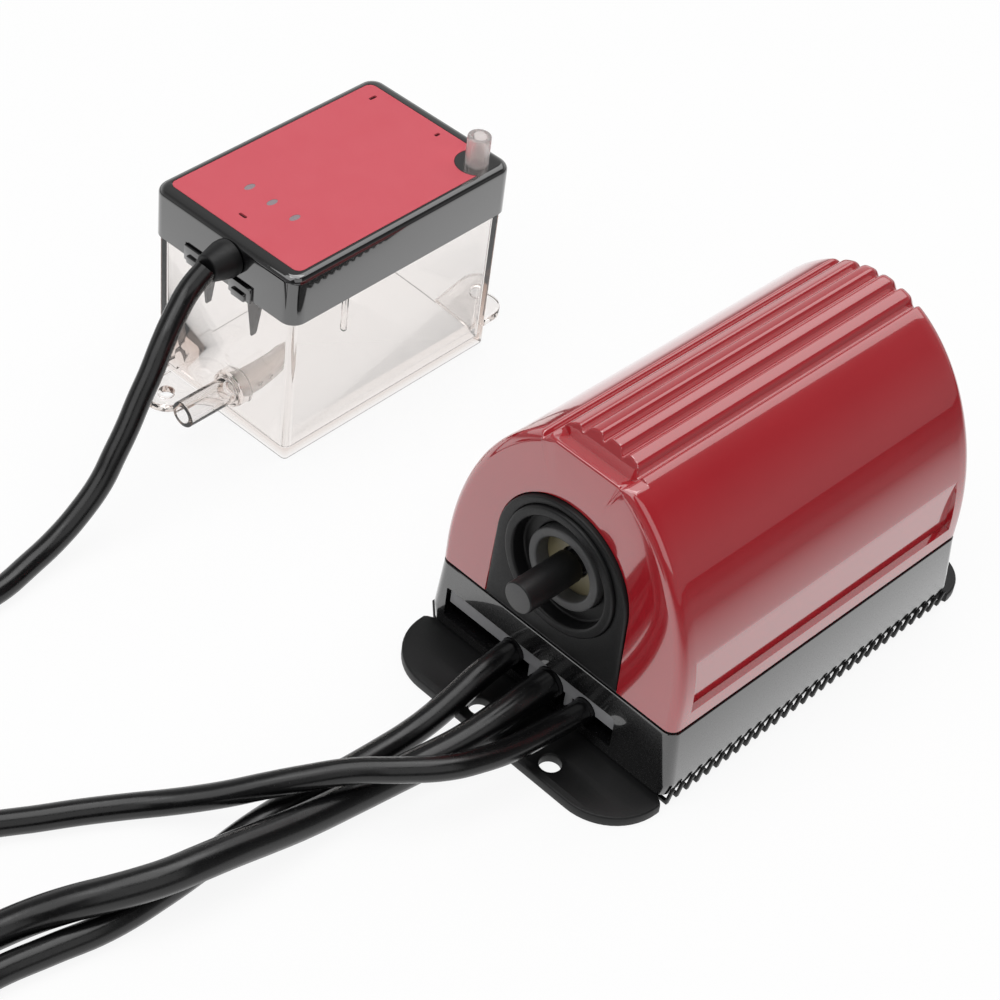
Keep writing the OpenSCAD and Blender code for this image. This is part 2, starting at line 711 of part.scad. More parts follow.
// Cream valve block behind the front boot: a chamber for the outlet ball and a socket each way
module valve_block() {
    color("#C9BD9B") difference() {
        core_bar(head_r, head_y, head_back);
        core_bar(spigot_r + 1 + slip, head_y - 1, head_y + socket_l);
        core_bar(chamber_r, head_y + socket_l - 1, outlet_seat_y);
        core_bar(waterway_r, outlet_seat_y - 1, head_back + 1);
        core_bar(guide_out_r + slip, guide_front - slip, head_back + 1);
    }
}

module inlet_block() {
    color("#C9BD9B") difference() {
        core_bar(head_r, inlet_front, inlet_y);
        core_bar(spigot_r + 1 + slip, inlet_y - socket_l, inlet_y + 1);
        core_bar(waterway_r, inlet_front - 1, inlet_y);
        core_bar(guide_out_r + slip, inlet_front - 1, guide_back + slip);
    }
}

// Hose spigot with a collar that seats in its block, and an eased end
module spigot(side) {
    tip = face_y + spigot_out;
    root = -head_y - socket_l + slip;
    translate([axis_x, 0, axis_z]) rotate([side < 0 ? 90 : -90, 0, 0]) rotate_extrude($fn = round_fn)
        polygon([[waterway_r, root], [spigot_r + 1, root], [spigot_r + 1, -head_y - 1],
                 [spigot_r, -head_y - 1], [spigot_r, tip - 0.6],
                 [spigot_r - 0.3, tip], [waterway_r, tip]]);
}

module outlet_spigot() { color("#1E1E20") spigot(-1); }

module inlet_spigot() { color("#1E1E20") spigot(1); }

// Closed cap that keeps dirt out of the outlet until the hose goes on
module outlet_cap() {
    color("#202022") difference() {
        core_bar(spigot_r + cap_wall, cap_end_y, -face_y + 2);
        core_bar(spigot_r + slip, cap_end_y + 1, -face_y + 3);
    }
}

module guide_tube() {
    color("#B5A24A") core_pipe(guide_out_r, guide_r, guide_front, guide_back);
}

// Hollow piston with the seat of its own ball valve at the front
module piston() {
    color("silver") difference() {
        core_bar(piston_r, piston_front, piston_back);
        core_bar(waterway_r, piston_front - 1, piston_back + 1);
        core_bar(chamber_r, piston_front + 1, piston_seat_y);
    }
}

module drive_spring() {
    color("silver") core_spring(spring_r - spring_wire/2, spring_wire, piston_back, guide_back - gap, 5);
}

module return_spring() {
    color("silver") core_spring(spring_r - spring_wire/2, spring_wire, guide_front + gap, piston_front, 5);
}

// Ball that closes the waterway, shown just off its seat
module check_ball(seat_y) {
    translate([axis_x, seat_y - seat_gap - ball_r, axis_z]) sphere(r = ball_r, $fn = 32);
}

piston_seat_y = piston_front + 9;
outlet_seat_y = guide_front - seat_t;

module piston_ball() { color("firebrick") check_ball(piston_seat_y); }

module outlet_ball() { color("firebrick") check_ball(outlet_seat_y); }

module ball_spring(seat_y, end_y) {
    core_spring(chamber_r - 0.45, 0.5, end_y, seat_y - seat_gap - 2*ball_r, 4);
}

module piston_ball_spring() { color("silver") ball_spring(piston_seat_y, piston_front + 1 + gap); }

module outlet_ball_spring() { color("silver") ball_spring(outlet_seat_y, head_y + socket_l + gap); }

module core_seals() {
    color("#2A2A2A") for (y = [head_back + gap, inlet_front - 1.6 - gap])
        core_pipe(guide_out_r + 2, guide_out_r + slip, y, y + 1.6);
}

module coil_bobbin() {
    bobbin_r = guide_out_r + gap;
    color("#D8D2C2") difference() {
        union() {
            core_bar(bobbin_r + bobbin_wall, -coil_l/2 - flange_t, coil_l/2 + flange_t);
            core_bar(coil_r, -coil_l/2 - flange_t, -coil_l/2);
            core_bar(coil_r, coil_l/2, coil_l/2 + flange_t);
        }
        core_bar(bobbin_r, -coil_l, coil_l);
    }
}

module coil_winding() {
    color("#B0622A") core_pipe(coil_r - 1, guide_out_r + 2*gap + bobbin_wall, -coil_l/2 + gap, coil_l/2 - gap);
}

// U-shaped steel yoke: two end plates joined by a plate under the coil
module magnet_yoke() {
    plate = 2*yoke_reach;
    color("#7C7F83") difference() {
        union() {
            for (y = [-yoke_half - yoke_t, yoke_half])
                translate([axis_x - yoke_reach, y, axis_z - yoke_reach]) cube([plate, yoke_t, plate]);
            translate([axis_x - yoke_reach, -yoke_half - eps, axis_z - yoke_reach])
                cube([plate, 2*yoke_half + 2*eps, 1.2]);
        }
        core_bar(guide_out_r + gap, -half_l, half_l);
    }
}

module pole_rings() {
    color("#7C7F83") for (y = [-yoke_half - yoke_t - 2.6, yoke_half + yoke_t + gap])
        core_pipe(guide_out_r + 3.4, guide_out_r + gap, y, y + 2.4);
}

module thermal_cutout() {
    color("#E4E2DA") translate([axis_x - 5, -7, axis_z + coil_r - 1 + gap])
        cube([10, 14, 3.6]);
}

// =====================================================================
// Electrics in the base
// =====================================================================

function board_screw_places() =
    [for (sx = [-1, 1]) for (sy = [-1, 1]) [sx*(board_w/2 - 3.4), board_y + sy*(board_l/2 - 3.4)]];

module board_hole_cut(r) {
    for (p = board_screw_places()) translate([p[0], p[1], board_z - 1])
        cylinder(r = r, h = board_t + 2, $fn = round_fn);
}

module control_board() {
    color("#2F6B45") difference() {
        translate([-board_w/2, board_y - board_l/2, board_z]) cube([board_w, board_l, board_t]);
        board_hole_cut(small_screw_r + gap);
    }
}

module board_screws() {
    color("silver") for (p = board_screw_places()) translate([p[0], p[1], 0]) {
        translate([0, 0, pad_t + 1.4])
            cylinder(r = small_screw_r, h = board_z + board_t - pad_t - 1.4 + eps, $fn = round_fn);
        translate([0, 0, board_z + board_t]) cylinder(r = small_head_r, h = small_head_h, $fn = round_fn);
    }
}

module relay() {
    color("#2B4C7A") translate([-18, board_y + board_l/2 - 26, board_z + board_t]) cube([15, 19, 9.4]);
}

module capacitor() {
    color("#B9A24E") translate([2, board_y + board_l/2 - 24, board_z + board_t]) cube([14, 14, 8]);
}

module terminal_block() {
    y = board_y - board_l/2 + 7.4;
    color("#3C7A4E") difference() {
        translate([-16, y, board_z + board_t]) cube([32, 8, 8.6]);
        for (i = [0:5]) translate([-13 + 5.2*i, y + 4, board_z + board_t + 3])
            cylinder(r = 1.4, h = 7, $fn = 24);
    }
}

// Light grey plate across the lead slot, arched over each lead
module lead_clamp() {
    color("#A9A9AB") difference() {
        union() {
            translate([clamp_left, clamp_front, clamp_top - clamp_h])
                cube([clamp_right - clamp_left, clamp_t, clamp_h]);
            for (x = clamp_post_x) translate([x - 1.2, clamp_front + 0.4, slot_z + gap])
                cube([2.4, clamp_t - 0.8, clamp_top - slot_z - gap - 1]);
            // screw lugs
            for (x = clamp_screw_x) translate([x - 3, clamp_front + clamp_t - 1, clamp_z])
                cube([6, 7, clamp_lug_t]);
        }
        for (e = [[sensor_exit, sensor_d], [mains_exit, mains_d], [alarm_exit, alarm_d]])
            translate([e[0][0], 0, e[0][1]]) rotate([90, 0, 0])
                cylinder(r = e[1]/2 + gap, h = cover_l, $fn = round_fn);
        for (x = clamp_screw_x) translate([x, clamp_screw_y, slot_z])
            cylinder(r = small_screw_r + gap, h = slot_h, $fn = 24);
    }
}

module clamp_screws() {
    color("silver") for (x = clamp_screw_x) translate([x, clamp_screw_y, clamp_z + clamp_lug_t]) {
        cylinder(r = small_head_r, h = small_head_h, $fn = round_fn);
        translate([0, 0, -clamp_screw_l]) cylinder(r = small_screw_r, h = clamp_screw_l + eps, $fn = round_fn);
    }
}

// The part of each lead that the clamp grips
module lead_bushes() {
    color("#161616") for (e = [[sensor_exit, sensor_d], [mains_exit, mains_d], [alarm_exit, alarm_d]])
        translate([e[0][0], exit_y + bush_l, e[0][1]]) rotate([90, 0, 0])
            cylinder(d = e[1], h = bush_l, $fn = round_fn);
}

// =====================================================================
// Leads
// =====================================================================

// First and last point of a coil, where the free leads meet it
function wound_start(w, d) = wound_path(w, d)[0];
function wound_end(w, d) = let (p = wound_path(w, d)) p[len(p) - 1];

// Tip of the gland, in the pump's frame
gland_tip = let (y = -lid_l/2 - gland_out)
    [tank_place[0] + gland_x*cos(tank_turn) - y*sin(tank_turn),
     tank_place[1] + gland_x*sin(tank_turn) + y*cos(tank_turn), gland_z];

module sensor_lead() {
    color("#131314") tube(concat(sensor_route, [wound_end(sensor_wind, sensor_d)]), sensor_d, lead_sides,
                          [0, 0, 1], [0, -1, 0], -wound_tangent(sensor_wind, sensor_wind[3]));
}

module sensor_coil() { color("#131314") wound(sensor_wind, sensor_d); }

module reservoir_lead() {
    path = concat([wound_start(sensor_wind, sensor_d)], reservoir_route, [gland_tip]);
    color("#131314") tube(path, sensor_d, lead_sides, [1, 0, 0],
                          -wound_tangent(sensor_wind, -sensor_wind[2]), [-sin(tank_turn), cos(tank_turn), 0]);
}

module mains_lead() {
    color("#131314") tube(concat(mains_route, [wound_start(mains_wind, mains_d)]), mains_d, lead_sides,
                          [0, 0, 1], [0, -1, 0], wound_tangent(mains_wind, -mains_wind[2]));
}

module mains_coil() { color("#131314") wound(mains_wind, mains_d); }

module alarm_lead() {
    color("#131314") tube(concat(alarm_route, [wound_start(alarm_wind, alarm_d)]), alarm_d, lead_sides,
                          [0, 0, 1], [0, -1, 0], wound_tangent(alarm_wind, -alarm_wind[2]));
}

module alarm_coil() { color("#131314") wound(alarm_wind, alarm_d); }

// Stripped cores with crimped ferrules at a coil's free end
module cores(w, d, count, core_d) {
    tip = wound_path(w, d);
    last = tip[len(tip) - 1];
    a = w[4] + w[5]*360*w[3] + w[5]*90;
    translate(last) rotate([0, 0, a]) for (i = [0:count - 1]) {
        side = (i - (count - 1)/2)*(core_d + 0.3);
        translate([0, side, 0]) rotate([0, 90, 0]) cylinder(d = core_d, h = 16, $fn = 24);
        translate([16, side, 0]) rotate([0, 90, 0]) cylinder(d = core_d*0.6, h = 8, $fn = 24);
    }
}

module mains_cores() { color("#6B4A2E") cores(mains_wind, mains_d, 3, 2.2); }

module alarm_cores() { color("#C8C8C8") cores(alarm_wind, alarm_d, 2, 2.2); }

// =====================================================================
// Reservoir
// =====================================================================

module tank_outside() {
    skin([at_z(round_rect(rim_w - 2*tank_draft, rim_l - 2*tank_draft, tank_r, 5), 0),
          at_z(round_rect(rim_w, rim_l, tank_r, 5), rim_z)]);
}

// Floor ear with a round end, at one end of the reservoir
module ear(i) {
    x = ear_hole[i][0];
    s = ear_hole[i][1];
    y = s*(rim_l/2 - tank_draft + ear_out[i]);
    translate([x, y, 0]) cylinder(r = ear_r, h = ear_t, $fn = round_fn);
    translate([x - ear_r + 0.02, min(y, s*(rim_l/2 - 4)), 0])
        cube([2*ear_r - 0.04, abs(y - s*(rim_l/2 - 4)), ear_t]);
}

module reservoir_body() {
    color("#D9D4CF", 0.4) at_tank() difference() {
        union() {
            difference() {
                tank_outside();
                translate([0, 0, tank_floor]) linear_extrude(height = rim_z)
                    polygon(round_rect(rim_w - 2*tank_draft - 2*tank_wall,
                                       rim_l - 2*tank_draft - 2*tank_wall, tank_r - 1, 5));
            }
            ear(0);
            ear(1);
            // spigot out of the end wall, and its socket inside
            translate([tank_spigot_x, -rim_l/2 + 6, tank_spigot_z]) rotate([90, 0, 0])
                cylinder(r = tank_spigot_r + 1.6, h = 6 - tank_wall/2, $fn = round_fn);
            translate([tank_spigot_x, -rim_l/2 + tank_wall/2, tank_spigot_z]) rotate([90, 0, 0])
                cylinder(r = tank_spigot_r + tank_seat_w, h = tank_wall/2 + tank_seat, $fn = round_fn);
            translate([tank_spigot_x, -rim_l/2 + 3, tank_spigot_z]) rotate([90, 0, 0])
                cylinder(r = tank_spigot_r, h = tank_spigot_out + 1.4 + 3, $fn = round_fn);
            // level rib inside the long wall
            translate([rim_w/2 - tank_draft - tank_wall - 1, -18.5, lid_z - 13])
                cube([1.5, 1.4, 11]);
        }
        for (i = [0, 1]) translate([ear_hole[i][0], ear_hole[i][1]*(rim_l/2 - tank_draft + ear_out[i]), -1])
            cylinder(d = ear_hole_d, h = ear_t + 2, $fn = round_fn);
        translate([tank_spigot_x, 0, tank_spigot_z]) rotate([90, 0, 0])
            cylinder(r = tank_bore_r, h = lid_l, $fn = round_fn);
        translate([tank_spigot_x, -rim_l/2 + 7, tank_spigot_z]) rotate([90, 0, 0])
            cylinder(r = tank_spigot_r, h = 4.4, $fn = round_fn);
    }
}

// Slotted tube that keeps grit out of the suction line
module filter_tube() {
    r = tank_spigot_r - slip;
    y0 = -rim_l/2 + 2.8;
    color("#CFC4BE", 0.6) at_tank() difference() {
        translate([tank_spigot_x, y0 + 30, tank_spigot_z]) rotate([90, 0, 0])
            cylinder(r = r, h = 30, $fn = round_fn);
        translate([tank_spigot_x, y0 + 29, tank_spigot_z]) rotate([90, 0, 0])
            cylinder(r = tank_bore_r, h = 40, $fn = round_fn);
        for (i = [0:6]) translate([tank_spigot_x - 6, y0 + 7 + 3*i, tank_spigot_z - 0.5]) cube([12, 1, 1]);
    }
}

module sensor_lid() {
    inner_w = lid_w - 2*lid_wall;
    inner_l = lid_l - 2*lid_wall;
    inner_r = lid_r - lid_wall;
    color("#2A2A2C") at_tank() {
        difference() {
            skin([at_z(round_rect(lid_w, lid_l, lid_r, 6), lid_z),
                  at_z(round_rect(lid_w, lid_l, lid_r, 6), lid_top_z - lid_edge),
                  at_z(round_rect(lid_w - 0.6*lid_edge, lid_l - 0.6*lid_edge, lid_r - 0.3*lid_edge, 6),
                       lid_top_z - 0.3*lid_edge),
                  at_z(round_rect(lid_w - 2*lid_edge, lid_l - 2*lid_edge, lid_r - 0.8*lid_edge, 6), lid_top_z)]);
            translate([0, 0, lid_z - 1]) linear_extrude(height = lid_h + 1 - lid_top)
                polygon(round_rect(inner_w, inner_l, inner_r, 6));
            translate([0, 0, lid_top_z - label_t]) linear_extrude(height = label_t + 1)
                label_outline(gap);
            translate([vent_x, vent_y, lid_z]) cylinder(r = vent_shank_r + slip, h = lid_h + 1, $fn = round_fn);
            translate([gland_x, -lid_l/2 + 4, gland_z]) rotate([90, 0, 0])
                cylinder(r = lead_hole_r, h = 8, $fn = round_fn);
            for (x = clip_x) translate([x - 4.2, -lid_l/2 - 1, lid_z - 1])
                cube([8.4, lid_wall + 3, clip_h + 0.9]);
        }
        // posts and pins that hold the sensor board
        for (p = lid_posts) translate([p[0], p[1], 0]) {
            translate([0, 0, sensor_board_z + board_t])
                cylinder(r = lid_post_r, h = lid_top_z - lid_top + 0.5 - sensor_board_z - board_t, $fn = round_fn);
            translate([0, 0, sensor_board_z - 1]) cylinder(r = lid_pin_r, h = board_t + 1 + eps, $fn = round_fn);
        }
    }
}

// Label with a bite out of the corner at the vent
module label_outline(grow) {
    w = lid_w - 2*label_edge + 2*grow;
    l = lid_l - 2*label_edge - 2 + 2*grow;
    difference() {
        polygon(round_rect(w, l, 2, 3));
        translate([vent_x, vent_y]) circle(r = label_cut/2 + vent_r - 4 - grow, $fn = 32);
        translate([vent_x, vent_y - 2.6 - grow + 4]) square([lid_w/2, lid_l/2]);
    }
}

module lid_label() {
    color("#B32A38") at_tank() translate([0, 0, lid_top_z - label_t + eps]) difference() {
        linear_extrude(height = label_t) label_outline(0);
        for (x = led_places) translate([x, led_y, -1]) cylinder(r = led_r + slip, h = 3, $fn = 24);
    }
}

led_places = [-9.8, -1.4, 6.9];
led_y = -21.3;
led_r = 1.5;

module label_windows() {
    color("#8E8C90") at_tank() for (x = led_places)
        translate([x, led_y, lid_top_z - label_t + 2*eps]) cylinder(r = led_r, h = label_t, $fn = 24);
}

module lid_gasket() {
    color("#303030") at_tank() translate([0, 0, rim_z + eps]) difference() {
        linear_extrude(height = 1) polygon(round_rect(rim_w, rim_l, tank_r, 5));
        translate([0, 0, -1]) linear_extrude(height = 3)
            polygon(round_rect(rim_w - 2*tank_wall, rim_l - 2*tank_wall, tank_r - 1, 5));
    }
}

module sensor_board() {
    color("#2F6B45") at_tank() difference() {
        translate([sensor_board_x[0], sensor_board_y[0], sensor_board_z])
            cube([sensor_board_x[1] - sensor_board_x[0], sensor_board_y[1] - sensor_board_y[0], board_t]);
        for (p = lid_posts) translate([p[0], p[1], sensor_board_z - 1])
            cylinder(r = lid_pin_r + slip, h = board_t + 2, $fn = round_fn);
    }
}

// Two level probes that hang from the lid into the water, pointed at their feet
module level_probes() {
    color("#3A3936") at_tank() for (i = [0, 1]) {
        x = probe_x[i];
        translate([x - 2, probe_y, lid_z - 5]) cube([4, probe_t, sensor_board_z - lid_z + 5 - eps]);
        translate([x, probe_y + probe_t, lid_z - 5]) rotate([90, 0, 0])
            linear_extrude(height = probe_t) polygon([[-2, 0.01], [2, 0.01], [0.3, -10], [-0.3, -10]]);
    }
}

// Snap clips that hook the lid's end over the reservoir's rim
module lid_clips() {
    color("#18181A") at_tank() for (x = clip_x) {
        translate([x - 4, -lid_l/2 - 0.8, lid_z - 0.4]) cube([8, 1.8, clip_h]);
        translate([x - 2.4, -lid_l/2 - 1.5, lid_z - 0.4]) cube([4.8, 0.8, 2.2]);
    }
}

// Tapered rubber gland where the sensor lead enters the lid
module lead_gland() {
    color("#151516") at_tank() translate([gland_x, 0, gland_z]) rotate([90, 0, 0]) rotate_extrude($fn = round_fn)
        polygon([[0, lid_l/2 - 3], [lead_hole_r - slip, lid_l/2 - 3], [lead_hole_r - slip, lid_l/2 + 0.2],
                 [sensor_d/2 + 2, lid_l/2 + 0.2], [sensor_d/2 + 2, lid_l/2 + 2.4],
                 [sensor_d/2 + 0.6, lid_l/2 + gland_out], [0, lid_l/2 + gland_out]]);
}

// Clear vent spigot that stands in the lid's corner
module vent_spigot() {
    color("#D9D4CF", 0.5) at_tank() translate([vent_x, vent_y, 0]) difference() {
        union() {
            translate([0, 0, lid_top_z + eps]) cylinder(r = vent_r, h = vent_up - eps, $fn = round_fn);
            translate([0, 0, lid_top_z - lid_top - 3]) cylinder(r = vent_shank_r, h = lid_top + 4, $fn = round_fn);
            translate([0, 0, lid_top_z - lid_top - 1.5 - gap]) cylinder(r = vent_r + 1.4, h = 1.5, $fn = round_fn);
        }
        translate([0, 0, lid_top_z - lid_top - 4]) cylinder(r = vent_r - 1.2, h = lid_h + vent_up, $fn = round_fn);
    }
}

echo(piston_ends = [piston_front - piston_travel, piston_back + piston_travel]);
echo(sensor_coil_gap = wound_self_gap(sensor_wind, sensor_d));
echo(mains_coil_gap = wound_self_gap(mains_wind, mains_d));
echo(alarm_coil_gap = wound_self_gap(alarm_wind, alarm_d));

mounting_pad();
base_tray();
top_cover();
front_boot();
rear_boot();
valve_block();
inlet_block();
outlet_spigot();
inlet_spigot();
outlet_cap();
guide_tube();
piston();
drive_spring();
return_spring();
piston_ball();
piston_ball_spring();
outlet_ball();
outlet_ball_spring();
coil_bobbin();
coil_winding();
magnet_yoke();
pole_rings();
thermal_cutout();
core_seals();
cover_screws();
control_board();
relay();
capacitor();
terminal_block();
board_screws();
lead_clamp();
clamp_screws();
lead_bushes();
sensor_lead();
sensor_coil();
reservoir_lead();
mains_lead();
mains_coil();
mains_cores();
alarm_lead();
alarm_coil();
alarm_cores();
reservoir_body();
filter_tube();
sensor_lid();
lid_label();
label_windows();
lid_gasket();
sensor_board();
level_probes();
lid_clips();
lead_gland();
vent_spigot();
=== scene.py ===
# %% [markdown]
# # A two-part condensate pump
# A small air conditioner drips water into a clear reservoir. A sensor lid on the reservoir
# watches the level and runs a piston pump, which stands beside it under a red arched cover.
# Everything is placed in the frame of the engineering model, which is loaded first and never
# moved: +X is to the pump's right, +Y is towards its inlet end, +Z is up, in metres.

# %% Load the frame
import math

import bmesh
import bpy
from mathutils import Matrix, Vector


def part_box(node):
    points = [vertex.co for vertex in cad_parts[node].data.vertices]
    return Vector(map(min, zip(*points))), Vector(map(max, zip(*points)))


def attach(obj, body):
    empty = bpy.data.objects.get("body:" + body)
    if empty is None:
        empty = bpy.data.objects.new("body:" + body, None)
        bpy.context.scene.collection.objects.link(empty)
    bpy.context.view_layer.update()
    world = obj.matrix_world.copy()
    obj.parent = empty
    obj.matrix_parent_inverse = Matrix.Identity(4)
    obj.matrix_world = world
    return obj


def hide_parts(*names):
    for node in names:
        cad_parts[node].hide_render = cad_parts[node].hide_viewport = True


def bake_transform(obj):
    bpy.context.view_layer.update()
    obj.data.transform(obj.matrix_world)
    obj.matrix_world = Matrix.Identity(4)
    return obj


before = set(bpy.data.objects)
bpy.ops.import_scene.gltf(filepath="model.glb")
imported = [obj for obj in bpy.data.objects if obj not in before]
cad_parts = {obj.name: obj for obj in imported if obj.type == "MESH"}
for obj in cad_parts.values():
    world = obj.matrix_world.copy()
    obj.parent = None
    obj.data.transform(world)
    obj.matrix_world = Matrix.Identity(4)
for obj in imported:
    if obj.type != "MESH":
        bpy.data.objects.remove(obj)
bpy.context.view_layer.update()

MM = 0.001

# %% [markdown]
# ## Camera
# A product picture is usually taken with a long lens from above, so that parallel edges stay
# nearly parallel. The camera is given by its place and by the directions of its right and up
# sides, because those three say its tilt and its roll at once.

# %% Camera
camera_place = Vector((0.2656, -0.3988, 0.4647))
camera_right = Vector((0.7023, 0.7047, 0.1008)).normalized()
camera_back = camera_right.cross(Vector((-0.5329, 0.4264, 0.7310))).normalized()
camera_up = camera_back.cross(camera_right)
camera_lens = bpy.data.cameras.new("studio_lens")
camera_lens.sensor_width = 36.0
camera_lens.lens = 95.4
camera_lens.clip_start = 0.01
camera = bpy.data.objects.new("studio_camera", camera_lens)
bpy.context.collection.objects.link(camera)
turn = Matrix((camera_right, camera_up, camera_back)).transposed().to_4x4()
camera.matrix_world = Matrix.Translation(camera_place) @ turn
bpy.context.scene.camera = camera
bpy.context.scene.view_settings.view_transform = "Standard"
print("camera looks down by", round(math.degrees(math.asin(camera_back.z)), 1), "degrees")

# %% [markdown]
# ## Colours and nodes
# Colours are chosen as sRGB hex values, the numbers that a colour picker shows. Shaders work in
# linear light, so one function turns them over. A second one adds a node with its settings and
# its links, which keeps each material as short as a recipe.

# %% Colour and node helpers
def linear(hex_colour):
    """An sRGB hex colour as linear red, green, blue and alpha."""
    parts = [int(hex_colour[i:i + 2], 16)/255 for i in (1, 3, 5)]
    return (*[p/12.92 if p <= 0.04045 else ((p + 0.055)/1.055)**2.4 for p in parts], 1.0)


def add_node(tree, kind, settings=None, links=None):
    """Adds a node. A setting is one of its properties, or the value of one of its sockets."""
    node = tree.nodes.new(kind)
    for name, value in (settings or {}).items():
        if isinstance(name, str) and hasattr(node, name):
            setattr(node, name, value)
        else:
            node.inputs[name].default_value = value
    for name, source in (links or {}).items():
        tree.links.new(source, node.inputs[name])
    return node


def start_material(name):
    """An empty material, its node tree, and the object's own coordinates in metres."""
    material = bpy.data.materials.new(name)
    material.use_nodes = True
    tree = material.node_tree
    tree.nodes.clear()
    return material, tree, add_node(tree, "ShaderNodeTexCoord").outputs["Object"]


def show_shader(tree, shader):
    add_node(tree, "ShaderNodeOutputMaterial", {}, {"Surface": shader.outputs[0]})


# %% [markdown]
# ## Moulded plastics and rubbers
# Most of this object comes out of a mould. A moulded surface copies its tool, so what the eye
# reads is the gloss and a faint grain in it, and under that a slow drift of the colour where the
# melt cooled unevenly. One recipe covers them all: the colour and its drift, the roughness, the
# size of the grain in millimetres, its depth, and a clear skin on what is glossy.

# %% Recipe of a moulded surface
drift_mm = 22


def moulded(name, colour, drift_colour, roughness, grain_mm, depth_mm, ior=1.5, skin=0.0, skin_ior=1.5):
    """A moulded surface: its colour drifts, and a fine grain shows in its gloss and its relief."""
    material, tree, place = start_material(name)
    drift = add_node(tree, "ShaderNodeTexNoise", {"Scale": 1/(drift_mm*MM), "Detail": 3.0}, {"Vector": place})
    grain = add_node(tree, "ShaderNodeTexNoise", {"Scale": 1/(grain_mm*MM), "Detail": 2.0}, {"Vector": place})
    tint = add_node(tree, "ShaderNodeMix", {"data_type": "RGBA", 6: linear(colour), 7: linear(drift_colour)},
                    {0: drift.outputs["Fac"]})
    gloss = add_node(tree, "ShaderNodeMapRange",
                     {"From Min": 0.3, "From Max": 0.7, "To Min": 0.85*roughness, "To Max": 1.15*roughness},
                     {"Value": grain.outputs["Fac"]})
    relief = add_node(tree, "ShaderNodeBump", {"Strength": 0.6, "Distance": depth_mm*MM},
                      {"Height": grain.outputs["Fac"]})
    shader = add_node(tree, "ShaderNodeBsdfPrincipled",
                      {"IOR": ior, "Coat Weight": skin, "Coat Roughness": 0.03, "Coat IOR": skin_ior},
                      {"Base Color": tint.outputs[2], "Roughness": gloss.outputs["Result"],
                       "Normal": relief.outputs["Normal"]})
    show_shader(tree, shader)
    return material


# %% [markdown]
# The cover is polished red ABS. Its tool was lapped to a mirror, so the floor shows in its upright
# faces, while its top shows the darker room and keeps its full red. The lid is the same plastic in
# black. So is the base, but a fine grain in its tool spreads the gloss. The boots, the pad and the
# seals are EPDM rubber, which never gets a sharp gloss because its filler leaves it finely matt.
# The leads have a PVC sheath, extruded through a hot die, which leaves them satin and a little wavy.

# %% Moulded finishes of the pump and the lid
red_abs = moulded("polished_red_abs", "#B0212B", "#A81D27", 0.14, 9, 0.002, ior=1.5, skin=1.0, skin_ior=2.0)
black_abs = moulded("polished_black_abs", "#0C0C0D", "#121213", 0.12, 9, 0.002, ior=1.5, skin=1.0,
                    skin_ior=2.0)
grained_abs = moulded("grained_black_abs", "#0C0C0D", "#121213", 0.25, 0.5, 0.01, ior=1.5, skin=1.0,
                      skin_ior=1.75)
epdm = moulded("black_epdm_rubber", "#0B0B0C", "#121213", 0.46, 0.35, 0.02, ior=1.42)
# Grey rubber as a painted highlight: it stands for the light on the boots' inner rings and the floor's
# reflection in the cap's end.
highlight_grey_epdm = moulded("epdm_painted_highlight_grey", "#4A4A4B", "#5A5A5A", 0.5, 0.35, 0.02, ior=1.5)
acetal = moulded("turned_black_acetal", "#151517", "#1C1C1E", 0.3, 0.5, 0.01, ior=1.48)
pvc = moulded("extruded_black_pvc", "#070708", "#0B0B0C", 0.24, 1.2, 0.008, ior=1.53)
nylon_grey = moulded("spark_eroded_grey_nylon", "#8C8C8E", "#A2A2A4", 0.6, 0.3, 0.06, ior=1.53)
nylon_cream = moulded("cream_nylon", "#8F8664", "#A0967A", 0.4, 0.5, 0.015, ior=1.53)
brown_pvc = moulded("brown_core_pvc", "#5A3A22", "#62412A", 0.35, 0.6, 0.005)
blue_pvc = moulded("blue_core_pvc", "#2A4C8C", "#305496", 0.35, 0.6, 0.005)
green_pvc = moulded("green_core_pvc", "#5C8A2E", "#C8B62E", 0.35, 3.0, 0.005)
relay_pbt = moulded("blue_pbt_case", "#2B4C7A", "#335484", 0.35, 0.5, 0.01)
film_capacitor = moulded("yellow_epoxy_case", "#B9A24E", "#C2AB58", 0.4, 0.5, 0.01)
terminal_pa = moulded("green_nylon_terminals", "#3C7A4E", "#448457", 0.45, 0.5, 0.01)
print("moulded finishes:", len(bpy.data.materials))

# %% [markdown]
# ## The leads
# Three round sheathed leads leave the pump under its clamp: the sensor lead, which goes on to the
# reservoir, the thicker mains lead and the alarm lead. A real lead is one smooth curve, so each is
# a Bezier curve through a few points, with its far stretch wound into a flat coil of two layers.
# A curve with a round bevel suits it: it keeps one true diameter, and its line is its length.

